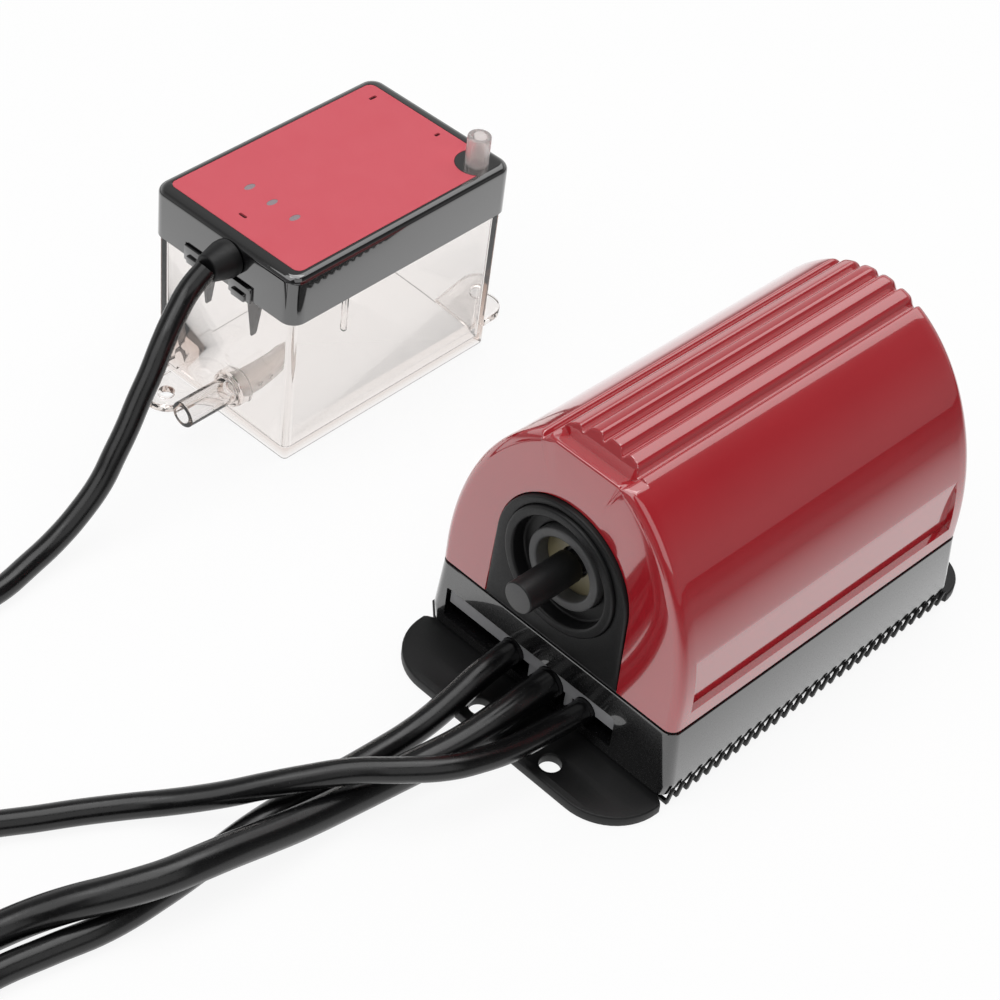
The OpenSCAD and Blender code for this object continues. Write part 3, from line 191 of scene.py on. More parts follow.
# %% Routes of the free leads, in metres
sensor_route = [
    (0.012, -0.054, 0.0109), (0.0114, -0.0645, 0.0115), (0.0107, -0.076, 0.0125),
    (0.0092, -0.085, 0.0138), (0.0066, -0.093, 0.0148), (0.0006, -0.102, 0.0152),
    (-0.0066, -0.11, 0.0144), (-0.0134, -0.119, 0.0124), (-0.0186, -0.126, 0.0104),
    (-0.0232, -0.1318, 0.0082), (-0.028, -0.137, 0.006), (-0.033, -0.1425, 0.0042),
    (-0.038, -0.149, 0.0033), (-0.0435, -0.158, 0.0032), (-0.0502, -0.17, 0.0032),
    (-0.0575, -0.181, 0.0032), (-0.068, -0.19, 0.0034), (-0.081, -0.1945, 0.0046),
    (-0.095, -0.1915, 0.0076), (-0.106, -0.184, 0.0098),
]
mains_route = [
    (0.0006, -0.054, 0.0108), (0.0004, -0.061, 0.0105), (0.0002, -0.068, 0.0095),
    (-0.0012, -0.08, 0.0072), (-0.0036, -0.091, 0.0056), (-0.0052, -0.1, 0.005), (-0.0064, -0.11, 0.0052),
    (-0.0074, -0.124, 0.0068), (-0.0082, -0.135, 0.009), (-0.0089, -0.144, 0.011),
    (-0.0098, -0.152, 0.0121), (-0.0112, -0.1595, 0.0124), (-0.0134, -0.166, 0.0122),
    (-0.0164, -0.1722, 0.0114), (-0.0204, -0.1788, 0.0098), (-0.0248, -0.186, 0.007),
    (-0.0282, -0.195, 0.0048), (-0.0304, -0.206, 0.0042), (-0.0317, -0.222, 0.0042),
    (-0.0318, -0.25, 0.0042),
]
alarm_route = [
    (-0.012, -0.054, 0.0114), (-0.012, -0.059, 0.0112), (-0.012, -0.065, 0.0101),
    (-0.0121, -0.072, 0.0078), (-0.0123, -0.079, 0.0056), (-0.0128, -0.086, 0.0041),
    (-0.0134, -0.094, 0.0035), (-0.014, -0.104, 0.0035), (-0.015, -0.118, 0.0035),
    (-0.0153, -0.132, 0.0035), (-0.0146, -0.144, 0.0035), (-0.014, -0.158, 0.0035),
    (-0.0146, -0.174, 0.0035), (-0.0174, -0.187, 0.0035), (-0.02, -0.2, 0.0035), (-0.021, -0.222, 0.0035),
    (-0.021, -0.246, 0.0035),
]
reservoir_route = [
    (-0.1125, -0.165, 0.0032), (-0.1112, -0.147, 0.0032), (-0.1106, -0.1303, 0.0037),
    (-0.1121, -0.1197, 0.005), (-0.1131, -0.1106, 0.0074), (-0.1138, -0.1025, 0.0116),
    (-0.1146, -0.0955, 0.0168), (-0.1156, -0.0906, 0.0222), (-0.1167, -0.0857, 0.0276),
    (-0.1182, -0.0809, 0.033), (-0.1196, -0.0759, 0.0384), (-0.1216, -0.0708, 0.0436),
    (-0.1243, -0.0646, 0.0478), (-0.1265, -0.0584, 0.0514),
]
sensor_d = 0.0062
mains_d = 0.0082
alarm_d = 0.0068

# %% [markdown]
# A coil is wound from the outside in on the floor, climbs one diameter where the spiral reverses,
# and is wound out again on top. Each is worked out by a loop over its turns, from its middle, its
# inner radius, its turns in and out, the angle of its innermost point and the way it goes round.

# %% Coils
turn_gap = 0.0006
turn_steps = 24


def wound_coil(centre, inner_r, turns_in, turns_out, middle_degrees, way, diameter):
    """Points of a two-layer coil with a straight lead of one diameter at each end."""
    step = diameter + turn_gap
    steps = math.ceil((turns_in + turns_out)*turn_steps)
    line = []
    for i in range(steps + 1):
        t = -turns_in + (turns_in + turns_out)*i/steps
        angle = math.radians(middle_degrees + way*360*t)
        r = inner_r + step*abs(t)
        rise = step*min(1, max(0, 2*t + 0.5))
        line.append(Vector((centre[0] + r*math.cos(angle), centre[1] + r*math.sin(angle),
                            diameter/2 + 0.0001 + rise)))
    start_angle = math.radians(middle_degrees - way*360*turns_in)
    end_angle = math.radians(middle_degrees + way*360*turns_out)
    start_way = way*Vector((-math.sin(start_angle), math.cos(start_angle), 0))
    end_way = way*Vector((-math.sin(end_angle), math.cos(end_angle), 0))
    return [line[0] - diameter*start_way, *line, line[-1] + diameter*end_way]


sensor_coil = wound_coil((-0.155, -0.195), 0.0255, 2.5, 2.375, 180, -1, sensor_d)
mains_coil = wound_coil((-0.090, -0.288), 0.034, 2.75, 2.5, 90, -1, mains_d)
alarm_coil = wound_coil((0.0245, -0.275), 0.027, 2.5, 2.75, 0, 1, alarm_d)

# %% [markdown]
# The reservoir stands 131.5 mm to the left of the pump and is turned by two degrees. Its pieces
# are built square in its own frame and then moved by one matrix, and so is the tip of the gland
# where the sensor lead ends.

# %% The reservoir's own frame, and the three cords
TANK = Matrix.Translation((-0.1315, -0.0052, 0)) @ Matrix.Rotation(math.radians(2), 4, "Z")
gland_x = 3.2
gland_z = 55.4
gland_tip = TANK @ (Vector((gland_x, -47.7, gland_z))*MM)


def cord_curve(name, line, diameter, finish):
    """A round cord along a smooth curve through the points of its line."""
    curve = bpy.data.curves.new(name, "CURVE")
    curve.dimensions = "3D"
    curve.bevel_depth = diameter/2
    curve.bevel_resolution = 5
    curve.resolution_u = 6
    curve.use_fill_caps = True
    spline = curve.splines.new("BEZIER")
    spline.bezier_points.add(len(line) - 1)
    for knot, point in zip(spline.bezier_points, line):
        knot.co = point
        knot.handle_left_type = knot.handle_right_type = "AUTO"
    curve.materials.append(finish)
    cord = bpy.data.objects.new(name, curve)
    bpy.context.collection.objects.link(cord)
    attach(cord, "pump")
    return cord


def line_length(line):
    return sum((Vector(b) - Vector(a)).length for a, b in zip(line, line[1:]))


sensor_line = [*sensor_route, *reversed(sensor_coil), *reservoir_route, gland_tip]
mains_line = [*mains_route, *mains_coil]
alarm_line = [*alarm_route, *alarm_coil]
sensor_cord = cord_curve("sensor_cord", sensor_line, sensor_d, pvc)
mains_cord = cord_curve("mains_cord", mains_line, mains_d, pvc)
alarm_cord = cord_curve("alarm_cord", alarm_line, alarm_d, pvc)
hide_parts("sensor_lead", "sensor_coil", "reservoir_lead")
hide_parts("mains_lead", "mains_coil")
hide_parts("alarm_lead", "alarm_coil")
for name, line in (("sensor", sensor_line), ("mains", mains_line), ("alarm", alarm_line)):
    print(name, "cord in metres:", round(line_length(line), 3))

# %% [markdown]
# ## Mesh tools
# Four tools build every rigid piece, all in millimetres. A **skin** joins rings of points, as a
# boat's planks join its frames. A **turned** piece sweeps a profile round an axis, as a lathe does.
# A **plate** fills an outline with its holes and rounds its edges. **Carve** cuts or adds a second
# piece. Smooth shading stops at edges sharper than an angle, so flat faces stay flat.

# %% Pieces from points
def show_piece(name, mesh, finishes, smooth=35.0):
    """Cleans a mesh, shades it and puts it in the scene as a piece."""
    work = bmesh.new()
    work.from_mesh(mesh)
    bmesh.ops.remove_doubles(work, verts=work.verts, dist=0.002*MM)
    bmesh.ops.dissolve_degenerate(work, edges=work.edges, dist=0.0005*MM)
    bmesh.ops.recalc_face_normals(work, faces=work.faces)
    work.to_mesh(mesh)
    work.free()
    mesh.shade_smooth()
    mesh.set_sharp_from_angle(angle=math.radians(smooth))
    if not mesh.materials:
        for finish in finishes:
            mesh.materials.append(finish)
    piece = bpy.data.objects.new(name, mesh)
    bpy.context.collection.objects.link(piece)
    return piece


def skin(name, rings, finishes, closed_ring=True, ends="caps", smooth=35.0):
    """A surface through rings of points. Its ends are capped, joined to each other, or left open."""
    count = len(rings[0])
    span = count if closed_ring else count - 1
    faces = []
    for k in range(len(rings) if ends == "joined" else len(rings) - 1):
        a, b = k*count, ((k + 1) % len(rings))*count
        for i in range(span):
            j = (i + 1) % count
            faces.append((a + i, a + j, b + j, b + i))
    if ends == "caps":
        faces.append(list(range(count)))
        faces.append(list(range((len(rings) - 1)*count, len(rings)*count)))
    if not closed_ring:
        faces.append([k*count for k in range(len(rings))])
        faces.append([(k + 1)*count - 1 for k in range(len(rings))])
    mesh = bpy.data.meshes.new(name)
    mesh.from_pydata([Vector(p)*MM for ring in rings for p in ring], [], faces)
    return show_piece(name, mesh, finishes, smooth)


def turned(name, profile, centre, axis, finishes, steps=72, closed=True, smooth=35.0):
    """A profile of (radius, place along the axis) swept round an axis Y or Z through a centre."""
    rings = []
    for r, along in profile:
        ring = []
        for i in range(steps):
            a = 2*math.pi*i/steps
            if axis == "Y":
                ring.append((centre[0] + r*math.cos(a), along, centre[1] + r*math.sin(a)))
            else:
                ring.append((centre[0] + r*math.cos(a), centre[1] + r*math.sin(a), along))
        rings.append(ring)
    return skin(name, rings, finishes, ends="joined" if closed else "open", smooth=smooth)


def rounded(corners, radius, steps=4, closed=True):
    """The same corners, each replaced with a short curve that starts a radius away from it."""
    points = []
    last = len(corners) - 1
    for i, corner in enumerate(corners):
        here = Vector(corner)
        if not closed and i in (0, last):
            points.append(tuple(here))
            continue
        before, after = Vector(corners[i - 1]), Vector(corners[(i + 1) % len(corners)])
        reach = min(radius, 0.45*(before - here).length, 0.45*(after - here).length)
        a = here + (before - here).normalized()*reach
        b = here + (after - here).normalized()*reach
        for k in range(steps + 1):
            t = k/steps
            points.append(tuple((1 - t)**2*a + 2*t*(1 - t)*here + t*t*b))
    return points


def arc(cx, cy, r, start, end, steps):
    """Points on an arc, with its angles in degrees."""
    angles = [math.radians(start + (end - start)*i/steps) for i in range(steps + 1)]
    return [(cx + r*math.cos(a), cy + r*math.sin(a)) for a in angles]


def round_rect(w, l, r, steps=8, cx=0.0, cy=0.0):
    """A rectangle with round corners, counter-clockwise."""
    points = []
    for q, (sx, sy) in enumerate(((1, 1), (-1, 1), (-1, -1), (1, -1))):
        points += arc(cx + sx*(w/2 - r), cy + sy*(l/2 - r), r, 90*q, 90*q + 90, steps)
    return points


# %% Plates, carving and joining
def plate(name, outlines, low, high, finishes, edge=0.0, along="Z", smooth=35.0):
    """Fills an outline and its holes from low to high along an axis, with rounded edges.
    Along Y, the outline is drawn in X and Z."""
    curve = bpy.data.curves.new(name, "CURVE")
    curve.dimensions = "2D"
    curve.fill_mode = "BOTH"
    curve.extrude = (high - low)/2 - edge
    curve.bevel_depth = edge
    curve.bevel_resolution = 2
    curve.offset = -edge
    for outline in outlines:
        spline = curve.splines.new("POLY")
        spline.points.add(len(outline) - 1)
        for knot, (u, v) in zip(spline.points, outline):
            knot.co = (u, v, 0, 1)
        spline.use_cyclic_u = True
    holder = bpy.data.objects.new(name, curve)
    bpy.context.collection.objects.link(holder)
    graph = bpy.context.evaluated_depsgraph_get()
    mesh = bpy.data.meshes.new_from_object(holder.evaluated_get(graph))
    bpy.data.objects.remove(holder)
    bpy.data.curves.remove(curve)
    mesh.transform(Matrix.Translation((0, 0, (low + high)/2)))
    if along == "Y":
        mesh.transform(Matrix(((1, 0, 0, 0), (0, 0, 1, 0), (0, 1, 0, 0), (0, 0, 0, 1))))
    mesh.transform(Matrix.Scale(MM, 4))
    return show_piece(name, mesh, finishes, smooth)


def settle(piece, smooth=35.0):
    """Makes a piece's modifiers part of its mesh."""
    graph = bpy.context.evaluated_depsgraph_get()
    old = piece.data
    piece.data = bpy.data.meshes.new_from_object(piece.evaluated_get(graph))
    piece.modifiers.clear()
    bpy.data.meshes.remove(old)
    piece.data.shade_smooth()
    piece.data.set_sharp_from_angle(angle=math.radians(smooth))
    return piece


def carve(piece, tool, how="DIFFERENCE", smooth=35.0):
    """Cuts the tool out of the piece, or adds it to it, and removes the tool."""
    change = piece.modifiers.new("carve", "BOOLEAN")
    change.operation = how
    change.solver = "EXACT"
    change.object = tool
    settle(piece, smooth)
    bpy.data.objects.remove(tool)
    return piece


def ease_edges(piece, width, angle=50.0, smooth=35.0):
    """A small round on every edge sharper than an angle."""
    change = piece.modifiers.new("ease", "BEVEL")
    change.width = width*MM
    change.segments = 2
    change.limit_method = "ANGLE"
    change.angle_limit = math.radians(angle)
    change.harden_normals = False
    return settle(piece, smooth)


def joined(name, parts):
    """One piece made of several, each with its own finishes."""
    work = bmesh.new()
    finishes = []
    for part in parts:
        first = len(work.faces)
        work.from_mesh(part.data)
        work.faces.ensure_lookup_table()
        for face in work.faces[first:]:
            finish = part.data.materials[face.material_index]
            if finish not in finishes:
                finishes.append(finish)
            face.material_index = finishes.index(finish)
        bpy.data.objects.remove(part)
    mesh = bpy.data.meshes.new(name)
    work.to_mesh(mesh)
    work.free()
    for finish in finishes:
        mesh.materials.append(finish)
    piece = bpy.data.objects.new(name, mesh)
    bpy.context.collection.objects.link(piece)
    return piece


def stands_for(piece, slot, *nodes, body="pump"):
    """The piece rides on its body and stands for these nodes. The slot is not used."""
    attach(piece, body)
    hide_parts(*nodes)
    return piece


# %% [markdown]
# ## Red cover
# The cover is one moulding: half an ellipse swept along the pump, with a flat ledge and five
# cooling grooves on top, a recessed panel on each side, and an arched opening for a rubber boot in
# each end. It is built as one skin. Each ring follows the arch from its left foot to its right
# foot, and the grooves, ledge and panels are functions that hold the surface down, so the edges
# between them can be rounded by a smooth minimum, as a mould's edges are.

# %% Sizes of the cover
cover_low, cover_high = [corner/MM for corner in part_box("top_cover")]
half_w = cover_high.x
half_l = cover_high.y
seam_z = cover_low.z
arch_z = seam_z + 4
arch_h = 55
axis_x = -1.2
axis_z = 46.6
boot_r = 20.5
boot_drop = 1.6
boot_flare = 0.8
groove_x = -1.5
groove_pitch = 5.8
groove_count = 5
groove_depth = 1.8
groove_half = 0.95
ledge_z = arch_z + arch_h - 3.4
ledge_end = -half_l + 7
ledge_fall = 2.0
ledge_half = 12.0
ledge_blend = 3.0
ledge_round = 0.4
ledge_depth = 1.6
nose_rise = 2.6
ledge_edge = 0.5
panel_foot = seam_z + 4.2
panel_h = 15
panel_top = panel_foot + panel_h
panel_depth = 1.6
panel_end = half_l - 5.5
front_lean = math.tan(math.radians(1.6))
lean_l = 7.5
cover_edge = 2.8
wall = 2.4
print("cover in mm:", round(2*half_w), "x", round(2*half_l), "x", round(cover_high.z))


# %% Shape of the cover
def smooth_min(a, b, blend):
    """The lesser of two heights, rounded where they cross."""
    h = max(0.0, blend - abs(a - b))/blend
    return min(a, b) - h*h*blend/4


def arch_height(x):
    return arch_z + arch_h*math.sqrt(max(0.0, 1 - (x/half_w)**2))


def ledge_height(x, y):
    """The ledge falls from its front edge to the feet of the steep ridge ends, but not at its sides."""
    share = min(1.0, max(0.0, (ledge_half - abs(x - groove_x/2))/ledge_blend))
    fall = ledge_fall*share*share*(3 - 2*share)
    if y < ledge_end:
        return ledge_z - fall*max(0.0, y + half_l - 1)/(ledge_end + half_l - 1)
    return ledge_z - fall + (y - ledge_end)*nose_rise


def top_height(x, y):
    """Height of the cover's top, with its grooves and its ledge."""
    z = arch_height(x)
    place = (x - groove_x)/groove_pitch + (groove_count - 1)/2
    aside = groove_pitch*abs(place - min(groove_count - 1, max(0, round(place))))
    z -= groove_depth*math.exp(-(aside/groove_half)**2)
    return smooth_min(z, ledge_height(x, y), ledge_round)


def side_reach(x, z, y):
    """Sideways place of the cover's side, with its recessed panel."""
    if panel_foot < z < panel_top and abs(y) < panel_end:
        top_x = half_w*math.sqrt(1 - ((panel_top - arch_z)/arch_h)**2)
        foot_x = half_w - panel_depth
        share = (z - panel_foot)/(panel_top - panel_foot)
        return math.copysign(min(abs(x), foot_x + share*(top_x - foot_x)), x)
    return x


def cover_stations():
    """Places on the arch from the left foot over the top to the right foot."""
    band = 17.0
    fine = 0.25
    band_z = arch_height(band)
    heights = [seam_z, seam_z + 2, panel_foot - 0.1, panel_foot + 0.1]
    heights += [panel_foot + panel_h*i/12 for i in range(1, 12)] + [panel_top - 0.1, panel_top + 0.1]
    heights += [panel_top + 1 + (band_z - panel_top - 2)*i/28 for i in range(29)]
    side = [(half_w*math.sqrt(1 - max(0.0, (z - arch_z)/arch_h)**2), z) for z in heights]
    count = round(2*band/fine)
    top = [(-band + fine*i, None) for i in range(count + 1)]
    return [(-x, z) for x, z in side] + top + [(x, z) for x, z in reversed(side)]


def cover_point(station, y):
    """A point of the cover's outside. Near an end it moves inwards along the arch's normal, which
    rounds the edge there: widely round the arch, but only a little along the ledge."""
    x, z = station
    radius = cover_edge
    if z is None:
        z = top_height(x, y)
        flat = min(1.0, max(0.0, (arch_height(x) - z)/ledge_depth)) if y < 0 else 0.0
        radius += (ledge_edge - cover_edge)*flat
        normal = Vector((x/half_w**2*(1 - flat), (z - arch_z)/arch_h**2))
    else:
        normal = Vector((x/half_w**2, max(0.0, z - arch_z)/arch_h**2))
        z = min(z, ledge_height(x, y))
        x = side_reach(x, z, y)
    normal.normalize()
    d = radius - min(radius, half_l - abs(y))
    inset = radius - math.sqrt(radius**2 - d**2)
    z = max(seam_z, z - inset*normal.y)
    lean = (z - seam_z)*front_lean*min(1.0, max(0.0, (-y - (half_l - lean_l))/lean_l))
    return (x - inset*normal.x, y + lean, z)


def boot_hole(station, grow):
    """The point of the boot's arched opening that faces a station of the arch."""
    x, z = station
    middle_z = axis_z - boot_drop
    if z is None:
        z = arch_height(x)
    r = boot_r + grow
    if z <= middle_z:
        flare = boot_flare*(middle_z - z)/(middle_z - seam_z)
        return (axis_x + math.copysign(r + flare, x), z)
    way = Vector((x - axis_x, z - middle_z)).normalized()*r
    return (axis_x + way.x, middle_z + way.y)


stations = cover_stations()
edge_steps = [0.0, 0.08, 0.22, 0.5, 0.9, 1.4, 2.0, cover_edge]
front_y = [-half_l + d for d in edge_steps]
nose_y = [ledge_end - 1.6 + 0.2*i for i in range(28)]
panel_y = [-panel_end - 0.05, -panel_end + 0.05, panel_end - 0.05, panel_end + 0.05]
long_y = [-36, -24, -12, 0, 12, 24, 36, 44]
outside_y = sorted(front_y + nose_y + panel_y + long_y + [half_l - d for d in edge_steps])
cover_rings = []
for y in outside_y:
    cover_rings.append([cover_point(s, y) for s in stations])


def hole_ring(y, grow):
    """The boot's opening at a place along the pump, grown a little. At the front it leans with the end."""
    leans = front_lean if y < 0 else 0.0
    points = [boot_hole(s, grow) for s in stations]
    return [(x, y + (z - seam_z)*leans, z) for x, z in points]


def hollow_ring(y, top=100.0):
    """The inside of the cover, about a wall inside its arch and its panels and no higher than top."""
    limit = half_w - panel_depth - wall
    points = []
    for x, z in stations:
        if z is None:
            z = arch_height(x)
        share = (arch_h - wall)/arch_h
        z = arch_z + (z - arch_z)*share if z > arch_z else z
        points.append((max(-limit, min(limit, x*(half_w - wall)/half_w)), y, min(top, max(seam_z, z))))
    return points


under_ledge = ledge_z - 3
cover_rings += [hole_ring(half_l, 0.35), hole_ring(half_l - 0.2, 0.15), hole_ring(half_l - wall, 0.15),
                hollow_ring(half_l - wall), hollow_ring(ledge_end + 4),
                hollow_ring(ledge_end + 1, under_ledge), hollow_ring(-half_l + wall + 1.6, under_ledge),
                hole_ring(-half_l + wall, 0.15), hole_ring(-half_l + 0.2, 0.15), hole_ring(-half_l, 0.35)]
cover = skin("red_cover", cover_rings, [red_abs], closed_ring=False, ends="joined", smooth=28)
stands_for(cover, "red_plastic", "top_cover")
print("cover faces:", len(cover.data.polygons))

# %% [markdown]
# ## Black base
# The base is a tray with a slightly flared skirt, which turns in again below a crease near its foot.
# The cover stands on its rim, which is stepped in so that a thin dark line shows between the two.
# A skin of rounded rectangles makes the tray. A wide slot in its front wall, which lets the three
# leads out under a clamp, is carved out of it.

# %% Base tray
pad_t = 3.0
base_wall = 2.5
base_floor = 2.5
base_r = 3
base_foot = pad_t + 0.15
base_top = seam_z - 0.15
crease_z = pad_t + 4.5
skirt_half = 39.65
foot_half = skirt_half - 0.8
slot_left, slot_right, slot_z, slot_h = -34.5, 21.5, 6.4, 9.4


def ring_at(points, z):
    return [(x, y, z) for x, y in points]


def skirt_reach(z):
    """Half the skirt's width at a height: it widens from the foot to the crease, then narrows."""
    if z < crease_z:
        return foot_half + (skirt_half - foot_half)*(z - base_foot)/(crease_z - base_foot)
    return skirt_half + (half_w - skirt_half)*(z - crease_z)/(base_top - crease_z)


def tray_outline(z, inset):
    l = 2*(half_l + 0.2*min(1.0, (base_top - z)/(base_top - crease_z)) - inset)
    return ring_at(round_rect(2*(skirt_reach(z) - inset), l, max(0.5, base_r - inset)), z)


tray_levels = [(base_foot, 0.35), (base_foot + 0.1, 0.1), (base_foot + 0.35, 0), (crease_z, 0),
               (base_top - 1.0, 0), (base_top - 0.85, 0.15), (base_top - 0.8, 0.7), (base_top, 0.7)]
base_rings = [tray_outline(z, inset) for z, inset in tray_levels]
inner_line = round_rect(2*(half_w - base_wall), 2*(half_l - base_wall), 2)
base_rings += [ring_at(inner_line, base_top), ring_at(inner_line, pad_t + base_floor)]
base = skin("black_base", base_rings, [grained_abs])
slot_tool = plate("slot_tool", [round_rect(slot_right - slot_left, slot_h, 0.6, 3,
                                           (slot_left + slot_right)/2, slot_z + slot_h/2)],
                  -half_l - 3, -half_l + base_wall + 1, [grained_abs], along="Y")
carve(base, slot_tool)
stands_for(base, "base_plastic", "base_tray")

# %% [markdown]
# ## Mounting pad
# A rubber pad under the base damps the pump's hum. It sticks out as a tab with two screw holes at
# each end. Between the tabs it has a waist, from which a comb of thin ribs runs out on each side and
# stands up against the skirt. The ribs are one loop.

# %% Pad, tabs and comb
pad_low, pad_high = [corner/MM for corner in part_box("mounting_pad")]
pad_half = 39.75
waist = skirt_half - 3.4
front_tab_r = 15
rear_tab_r = 11
front_turn = [(pad_half, -half_l - 1.5), (pad_half - 0.6, -half_l - 0.8), (waist, -half_l + 1),
              (waist, half_l - 1)]
pad_line = (arc(pad_half - rear_tab_r, pad_high.y - rear_tab_r, rear_tab_r, 0, 90, 12)
            + arc(-pad_half + rear_tab_r, pad_high.y - rear_tab_r, rear_tab_r, 90, 180, 12)
            + [(-x, y) for x, y in reversed(front_turn)]
            + arc(-pad_half + front_tab_r, pad_low.y + front_tab_r, front_tab_r, 180, 270, 14)
            + arc(pad_half - front_tab_r, pad_low.y + front_tab_r, front_tab_r, 270, 360, 14) + front_turn)
hole_x, hole_gap, hole_r = 2.4, 23.6, 2.75
hole_places = (-half_l - 12, half_l + 5.9)
pad_holes = [arc(hole_x + side*hole_gap/2, y, hole_r, 0, 345, 23) for side in (-1, 1) for y in hole_places]
pad = plate("pad_sheet", [pad_line, *pad_holes], 0, pad_t, [epdm], edge=0.5)

rib_count = 30
rib_w = 1.0
rib_t = 0.8
rib_h = 6.0
rib_pitch = (2*half_l - 4)/(rib_count - 1)
rib_slope = (skirt_half - foot_half)/(crease_z - base_foot)


def rib_at(z):
    """Inner face of the ribs, which lean along the turned-in edge of the skirt."""
    return foot_half + 0.15 + rib_slope*(z - base_foot)


rib_foot = 0.2
rib_root = 1.2
rib_shape = [(waist - 1, rib_foot), (rib_at(rib_foot) + rib_t, rib_foot),
             (rib_at(rib_h - 0.4) + rib_t, rib_h - 0.4), (rib_at(rib_h) + rib_t - 0.3, rib_h),
             (rib_at(rib_h), rib_h), (rib_at(rib_root), rib_root), (waist - 1, rib_root)]
ribs = []
for i in range(rib_count):
    y = -half_l + 2 + i*rib_pitch
    for side in (-1, 1):
        rings = [[(side*x, y + s*rib_w/2, z) for x, z in rib_shape] for s in (-1, 1)]
        ribs.append(skin("rib", rings, [epdm]))
pad = joined("mounting_pad_and_combs", [pad, ease_edges(joined("combs", ribs), 0.12)])
stands_for(pad, "pad_rubber", "mounting_pad")
print("pad ribs:", len(ribs))

# %% [markdown]
# ## End boots and spigots
# Each end of the pump core is held in a rubber boot that fills the cover's arched opening. The
# boot is a plate with a raised ring round a dark well, and a thinner ring round the spigot. Both
# ends are the same, so one function builds them, with a side of -1 for the front.

# %% Boots
face_y = half_l - 1
boot_y = face_y + 1.2
boot_back = half_l - wall - 2.4
ring_r, ring_w, well_depth, inner_ring_r, bore_r = 17.0, 2.6, 3.0, 10.8, 8.4


def boot(name, side):
    """A boot in the cover's front (-1) or rear (1) end: plate, raised ring and inner ring."""
    foot = boot_r + boot_flare
    arch = arc(axis_x, axis_z - boot_drop, boot_r, 0, 180, 48)
    outline = [(axis_x + foot, seam_z + 0.15), *arch, (axis_x - foot, seam_z + 0.15)]
    hole = arc(axis_x, axis_z, ring_r - 0.05, 0, 355, 71)
    low, high = sorted((side*boot_back, side*boot_y))
    body = plate("body", [outline, hole], low, high, [epdm], edge=0.5, along="Y")
    rim = rounded([(ring_r, boot_back), (ring_r, boot_y + 1), (ring_r - ring_w, boot_y + 1),
                   (ring_r - ring_w, boot_y - well_depth), (inner_ring_r, boot_y - well_depth),
                   (inner_ring_r, boot_back)], 0.7)
    sleeve = rounded([(inner_ring_r, boot_back), (inner_ring_r, boot_y - 0.6), (bore_r, boot_y - 0.6),
                      (bore_r, boot_back)], 0.6)
    centre = (axis_x, axis_z)
    rim = turned("rim", [(r, side*y) for r, y in rim], centre, "Y", [epdm])
    # The inner ring is painted a lighter grey, which stands for the highlight it catches.
    sleeve = turned("sleeve", [(r, side*y) for r, y in sleeve], centre, "Y", [highlight_grey_epdm])
    return joined(name, [body, rim, sleeve])


stands_for(boot("front_boot_rubber", -1), "boot_rubber", "front_boot")
stands_for(boot("rear_boot_rubber", 1), "boot_rubber", "rear_boot")

# %% [markdown]
# The spigots are short pipes with an eased end. Until a hose is fitted, the outlet wears a soft
# closed cap with a flat end. Turning a profile gives both.

# %% Spigots, cap and valve blocks
spigot_r, waterway_r, spigot_out, cap_wall = 3.0, 1.6, 14, 1.15
spigot_tip = face_y + spigot_out
spigot_root = boot_back - 4.95
spigot_line = [(waterway_r, spigot_root), (spigot_r + 1, spigot_root), (spigot_r + 1, boot_back - 1),
               (spigot_r, boot_back - 1), (spigot_r, spigot_tip - 0.6), (spigot_r - 0.3, spigot_tip),
               (waterway_r, spigot_tip)]
for name, side, node in (("outlet_pipe", -1, "outlet_spigot"), ("inlet_pipe", 1, "inlet_spigot")):
    line = [(r, side*y) for r, y in rounded(spigot_line, 0.2, 2)]
    stands_for(turned(name, line, (axis_x, axis_z), "Y", [acetal], 48), "spigot_plastic", node)

cap_r = spigot_r + cap_wall
cap_line = rounded([(0.0, -spigot_tip - 1), (cap_r, -spigot_tip - 1), (cap_r, -face_y + 2),
                    (spigot_r + 0.05, -face_y + 2), (spigot_r + 0.05, -spigot_tip - 0.05),
                    (0.0, -spigot_tip - 0.05)], 0.5, closed=False)
cap = turned("transit_cap", cap_line, (axis_x, axis_z), "Y", [epdm, highlight_grey_epdm], 48, closed=False)
# The cap's flat end is painted a lighter grey, which is a painted reflection of the floor in it.
for face in cap.data.polygons:
    if all(cap.data.vertices[i].co.y < (-spigot_tip - 0.9)*MM for i in face.vertices):
        face.material_index = 1
stands_for(cap, "cap_rubber", "outlet_cap")

# %% [markdown]
# ## Lead clamp
# A light grey nylon bar lies across the slot and presses on the leads. Its underside is arched over
# each lead, and its face has the fine grain that spark erosion leaves in a mould.

# %% Clamp bar
leads = [(-12.0, 11.4, 3.4), (0.6, 10.8, 4.1), (12.0, 10.9, 3.1)]
clamp_low, clamp_high = [corner/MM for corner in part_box("lead_clamp")]
clamp_y = clamp_low.y
clamp_t = 4.0
bar_z = clamp_high.z - 4.4
bar_line = [(clamp_low.x, bar_z)]
for x, z, r in leads:
    grip = r + 0.15
    start = math.degrees(math.asin((bar_z - z)/grip))
    bar_line += arc(x, z, grip, 180 - start, start, 16)
bar_line += [(clamp_high.x, bar_z), (clamp_high.x, clamp_high.z), (clamp_low.x, clamp_high.z)]
clamp_parts = [plate("bar", [bar_line], clamp_y, clamp_y + clamp_t, [nylon_grey], edge=0.12, along="Y")]
post_places = (-5.7, 6.3)
lug_places = (-20.5, 18.8)
for x in post_places:
    clamp_parts.append(plate("post", [round_rect(2.4, 3.2, 0.3, 2, x, clamp_y + 2)], slot_z + 0.15,
                             clamp_high.z - 1, [nylon_grey], edge=0.1))
for x in lug_places:
    clamp_parts.append(plate("lug", [round_rect(6, 7, 0.8, 3, x, clamp_y + clamp_t + 2.5),
                                     arc(x, clamp_y + clamp_t + 3.5, 1.15, 0, 330, 11)],
                             bar_z, bar_z + 2, [nylon_grey], edge=0.1))
stands_for(joined("clamp_bar", clamp_parts), "clamp_grey", "lead_clamp")

